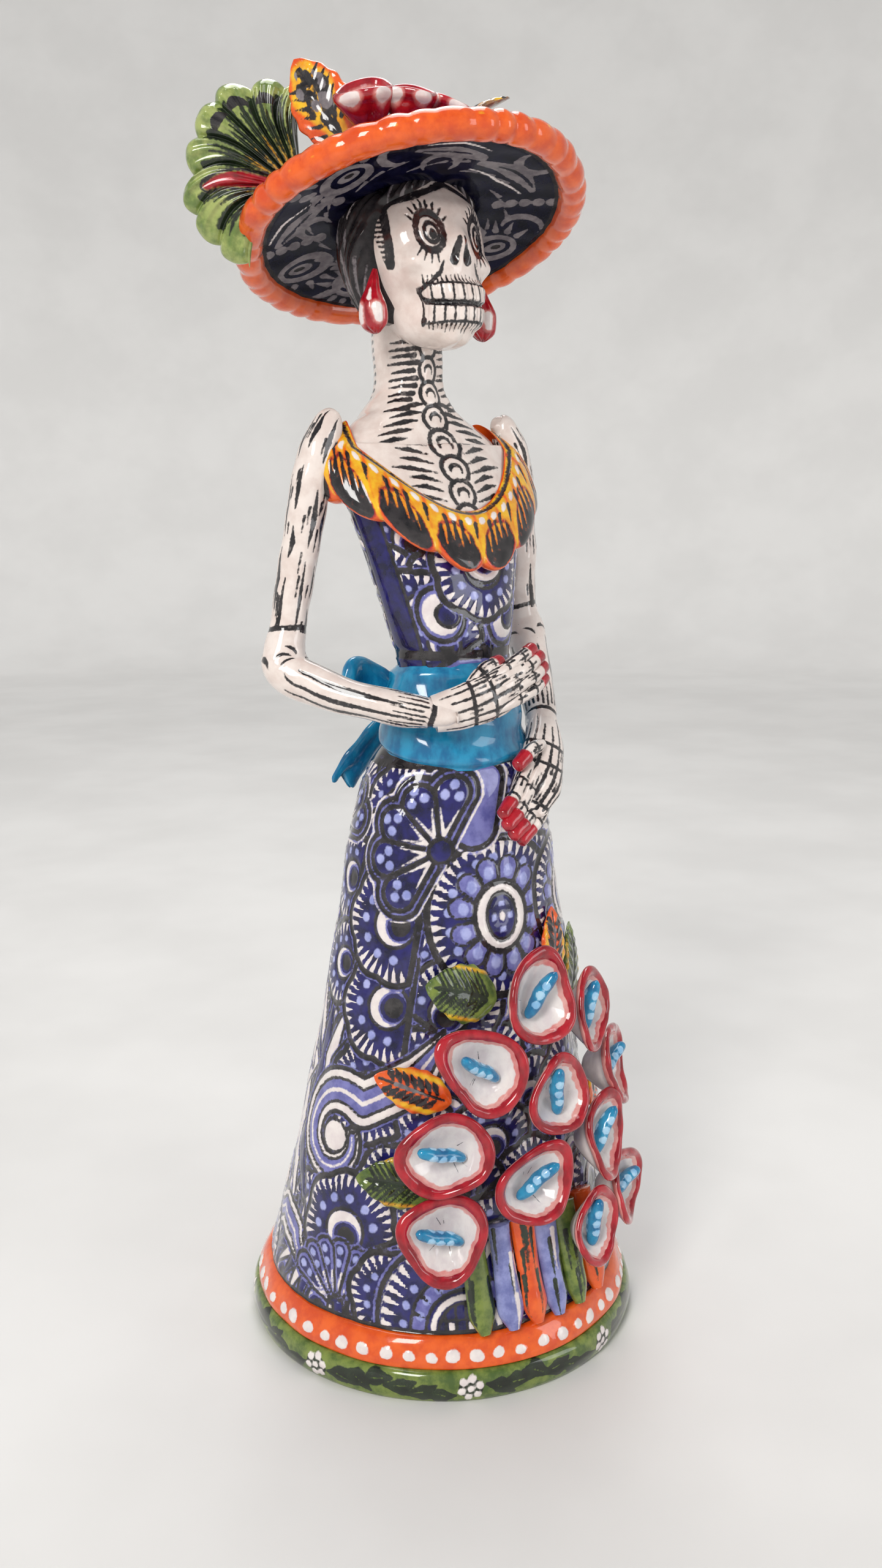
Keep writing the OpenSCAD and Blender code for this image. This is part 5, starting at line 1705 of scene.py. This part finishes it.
def finger_tube(start, middle, end, radius, out, nail_len, seed):
    """One finger of the hand, with its knuckle lines, and its nail on the side that faces out."""
    start, middle, end, out = (np.array(v, float) for v in (start, middle, end, out))
    tip = (end - middle) / np.linalg.norm(end - middle)
    keys = [(*start, radius * 0.7, radius * 0.7), (*(start * 0.6 + middle * 0.4), radius, radius * 1.02),
            (*middle, radius * 1.05, radius * 1.08), (*(middle * 0.45 + end * 0.55), radius * 0.97, radius),
            (*(end - tip * radius * 0.6), radius * 0.86, radius * 0.86),
            (*(end - tip * radius * 0.12), radius * 0.45, radius * 0.45),
            (*end, 0.05, 0.05)]
    rows, cols = 90, 40
    points, along, around = tube(keys, rows, cols, out)
    # The tube's first side lies across out; a quarter turn on is out itself
    facing = np.sin(around)
    length = along[-1, 0]
    paint = Paint(around, along, BONE_LAYERS, scale=radius, period=TAU)
    r = rng(seed)
    for v in (length * 0.36, length * 0.64):
        near, x, y = paint.at(0, 0, 400)
        paint.add("black", near, (np.abs(along - v - 0.25 * np.cos(around)) - 0.34)[near])
    for side in (-1, 1):
        near, x, y = paint.at(math.pi / 2 + side * 1.35, length * 0.45, length)
        paint.add("black", near, stroke(x, y, [(0, -length * 0.45), (0, length * 0.33)], [0.25, 0.45]))
    for _ in range(5):
        near, x, y = paint.at(math.pi / 2 + r.uniform(-0.9, 0.9), length * r.uniform(0.15, 0.75), 2.4)
        paint.add("black", near, stroke(x, y, [(0, -1.3), (0, 1.3)], [0.12, 0.3]))
    nail = np.maximum(length - nail_len - along, -(facing + 0.45) * radius)
    paint.layers["black"] = np.maximum(paint.layers["black"], -nail)
    paint.layers["red"] = nail
    plate = 0.22 * smooth(0.25, -0.35, nail) * smooth(length, length - 0.9, along)
    points = points + outward_normals(points) * (plate + relief(paint, 0.1, 0))[..., None]
    return points, grid_faces(rows, cols, wrap_cols=True), paint.layers, rows * cols, cols


def make_hand(name, keys, ref, out, fingers, thumb, nail, seed):
    """Flat hand laid on the body: a broad palm and four fingers side by side."""
    rows, cols = 120, 90
    palm_keys = spline(keys, 40)
    share = 25
    closing = [(*palm_keys[share, :3], palm_keys[share, 3] * 0.75, palm_keys[share, 4] * 0.8),
               (*palm_keys[share + 2, :3], 0.1, 0.1)]
    points, along, around = tube(np.vstack([palm_keys[:share:3], closing]), rows, cols, ref)
    length = along[-1, 0]
    paint = Paint(around, along, BONE_LAYERS, scale=4.2, period=TAU)
    near, x, y = paint.at(0, 0, 400)
    for v in (length * 0.32, length * 0.5, length * 0.86):
        paint.add("black", near, (np.abs(along - v - 0.5 * np.sin(around)) - 0.42)[near])
    r = rng(seed)
    for k in range(14):
        a = TAU * k / 14 + 0.1
        near, x, y = paint.at(a, length * 0.5, length)
        half = length * r.uniform(0.3, 0.47)
        paint.add("black", near, stroke(x, y, [(0, -half), (r.uniform(-0.3, 0.3), half)], [0.22, 0.45]))
        for _ in range(2):
            near, x, y = paint.at(a + 0.2, length * r.uniform(0.3, 0.9), 3)
            paint.add("black", near, stroke(x, y, [(0, -1.2), (0, 1.2)], [0.12, 0.32]))
    rise = wobble(points, 6, 0.15, seed) + relief(paint, 0.1, 0) - 0.1
    points = points + outward_normals(points) * rise[..., None]
    parts = [(points, grid_faces(rows, cols, wrap_cols=True), paint.layers)]
    rings, start = list(tube_caps(rows, cols)), rows * cols
    path = spline(keys, 41)
    side = np.cross(np.gradient(path[:, :3], axis=0), out)
    side /= np.linalg.norm(side, axis=1, keepdims=True)
    out = np.array(out, float) / np.linalg.norm(out)
    for k, (offset, first, last, radius, lift) in enumerate(fingers):
        at = [int(40 * v) for v in (first, (first + last) / 2, last)]
        spread = (0.85, 1.0, 0.92)
        spots = [path[i, :3] + side[i] * offset * s + out * lift for i, s in zip(at, spread)]
        finger = finger_tube(*spots, radius, out, nail, seed + 10 + k)
        parts.append(finger[:3])
        rings += [range(start, start + finger[4]), range(start + finger[3] - finger[4], start + finger[3])]
        start += finger[3]
    finger = finger_tube(*thumb, 1.45, out, nail * 0.9, seed + 20)
    parts.append(finger[:3])
    rings += [range(start, start + finger[4]), range(start + finger[3] - finger[4], start + finger[3])]
    points, faces, layers = merged(parts)
    piece("hand_" + name, points, faces, bone_glaze("hand_bone_" + name), [name + "_hand"],
          layers, rings)


def make_hands():
    right = [(-13.8, -15.8, 138.8, 3.2, 3.9), (-8, -18.6, 140.2, 2.5, 4.7), (-1, -19.9, 142.6, 2.2, 5.1),
             (6, -19.0, 145, 2.0, 4.7), (11.5, -17.2, 147.2, 1.7, 3.2), (13.8, -16.2, 147.9, 0.8, 1.4)]
    fingers = [(3.7, 0.36, 0.9, 1.42, 0.6), (1.25, 0.36, 0.99, 1.5, 0.9), (-1.25, 0.36, 0.97, 1.5, 0.9),
               (-3.6, 0.36, 0.86, 1.35, 0.5)]
    thumb = ((-7, -18.2, 143.8), (-3, -18.6, 147.2), (2.5, -17.4, 148.6))
    make_hand("right", right, (0, 0.05, 1), (0.05, -1, 0.12), fingers, thumb, 3.4, 201)
    left = [(19.4, -10.4, 133.8, 3.7, 3.4), (15.4, -16.0, 129.2, 4.7, 2.5), (10, -20.9, 123.8, 5.0, 2.3),
            (4, -23.9, 119, 4.5, 2.0), (-1, -25.2, 115.6, 3.2, 1.7), (-3, -25.5, 114.4, 1.4, 0.8)]
    fingers = [(3.6, 0.36, 0.86, 1.42, 0.6), (1.2, 0.36, 0.95, 1.5, 0.9), (-1.2, 0.36, 0.97, 1.5, 0.9),
               (-3.5, 0.36, 0.88, 1.35, 0.5)]
    thumb = ((12.5, -18.6, 130.4), (8, -20.2, 129.6), (3, -21.2, 126.6))
    make_hand("left", left, (0.5, 0, 1), (-0.35, -0.9, 0.1), fingers, thumb, 5.0, 231)


# ---- Floor, light and camera ----

FLOOR_REACH = 1.9  # half the floor's side, in metres
FLAT_RADIUS = 1.15  # the floor is flat out to here, in metres
FLOOR_RISE = 3.0  # how steeply it curves up past that
GLOW_FROM, GLOW_TO, GLOW = 0.7, 1.5, 0.17  # metres from the figure, and the strength at the far end


def make_floor():
    """Pale floor that rises softly all round, far from the figure."""
    cells = 90
    line = np.linspace(-FLOOR_REACH, FLOOR_REACH, cells)
    y, x = np.meshgrid(line, line, indexing="ij")
    height = FLOOR_RISE * np.maximum(0, np.hypot(x, y) - FLAT_RADIUS) ** 2
    points = np.stack([x, y, height], -1)
    mesh = bpy.data.meshes.new("floor")
    mesh.from_pydata(points.reshape(-1, 3).tolist(), [], grid_faces(cells, cells).tolist())
    mesh.polygons.foreach_set("use_smooth", [True] * len(mesh.polygons))
    n = Nodes("floor_surface")
    tone = n.mix(n.between(n.noise(90, 3.0), 0.3, 0.7), (0.70, 0.69, 0.675), (0.76, 0.75, 0.735))
    n.link(tone, n.shader.inputs["Base Color"])
    n.shader.inputs["Roughness"].default_value = 0.75
    # A soft glow far out keeps the studio pale on every side
    place = n.tree.nodes.new("ShaderNodeNewGeometry")
    reach = n.tree.nodes.new("ShaderNodeVectorMath")
    reach.operation = "LENGTH"
    n.link(place.outputs["Position"], reach.inputs[0])
    glow = n.between(reach.outputs["Value"], GLOW_FROM, GLOW_TO, 0.0, GLOW)
    n.link(glow, n.shader.inputs["Emission Strength"])
    n.shader.inputs["Emission Color"].default_value = (1, 0.99, 0.97, 1)
    mesh.materials.append(n.material)
    floor = bpy.data.objects.new("floor", mesh)
    bpy.context.scene.collection.objects.link(floor)


def aim(obj, place, target):
    obj.location = place
    obj.rotation_euler = (Vector(target) - Vector(place)).to_track_quat("-Z", "Y").to_euler()


LIGHT_TARGET = (0, 0, 0.13)  # the figure's middle


def soft_light(name, place, power, width, height, tone=(1, 1, 1)):
    light = bpy.data.lights.new(name, "AREA")
    light.shape = "RECTANGLE"
    light.size, light.size_y = width, height
    light.energy = power
    light.color = tone
    obj = bpy.data.objects.new(name, light)
    bpy.context.scene.collection.objects.link(obj)
    aim(obj, place, LIGHT_TARGET)


def make_lights():
    soft_light("key", (-0.75, -0.45, 0.75), 6.5, 0.3, 0.45, (1, 0.98, 0.95))
    soft_light("fill", (0.5, -0.9, 0.35), 1.6, 0.3, 0.6, (0.95, 0.97, 1))
    soft_light("top", (0.1, 0.2, 0.95), 2.6, 0.5, 0.5)
    soft_light("back", (0.4, 0.55, 1.1), 2.6, 0.4, 0.5)
    bpy.context.scene.view_settings.view_transform = "Standard"
    world = bpy.data.worlds.new("studio")
    bpy.context.scene.world = world
    world.use_nodes = True
    shade = world.node_tree.nodes["Background"]
    shade.inputs["Color"].default_value = (0.92, 0.94, 0.97, 1)
    shade.inputs["Strength"].default_value = 0.32


CAMERA_LENS, CAMERA_SENSOR = 32.4, 36  # mm
CAMERA_PLACE = (-0.180, -0.2388, 0.1834)  # 0.299 m from the figure's axis, level with her collar
CAMERA_HEADING = (0.6018, 0.7986)  # towards the axis, 37 degrees round to her right
CAMERA_PITCH = 11.94  # degrees downward


def make_camera():
    """The photograph's view: from her right front, looking a little down."""
    data = bpy.data.cameras.new("camera")
    data.lens, data.sensor_width = CAMERA_LENS, CAMERA_SENSOR
    data.dof.use_dof = False
    camera = bpy.data.objects.new("camera", data)
    bpy.context.scene.collection.objects.link(camera)
    camera.location = Vector(CAMERA_PLACE)
    down = math.radians(CAMERA_PITCH)
    east, north = CAMERA_HEADING
    ahead = Vector((east * math.cos(down), north * math.cos(down), -math.sin(down)))
    camera.rotation_euler = ahead.to_track_quat("-Z", "Y").to_euler()
    bpy.context.scene.camera = camera


make_skirt()
make_hem_band()
make_plinth()
make_bodice()
make_bow(make_sash())
make_neck()
make_collar()
make_skull()
make_hair()
make_earring(1, "left")
make_earring(-1, "right")
make_brim()
make_crown()
make_rim()
make_plume()
make_hat_leaves()
make_hat_flowers()
make_arm("right", RIGHT_ARM, (0.2, 1, 0.1), 52, 211)
make_arm("left", LEFT_ARM, (0.05, 1, 0.1), 49, 221)
make_hands()
make_callas()
make_spadices()
make_leaves()
make_stems()
make_floor()
make_lights()
make_camera()
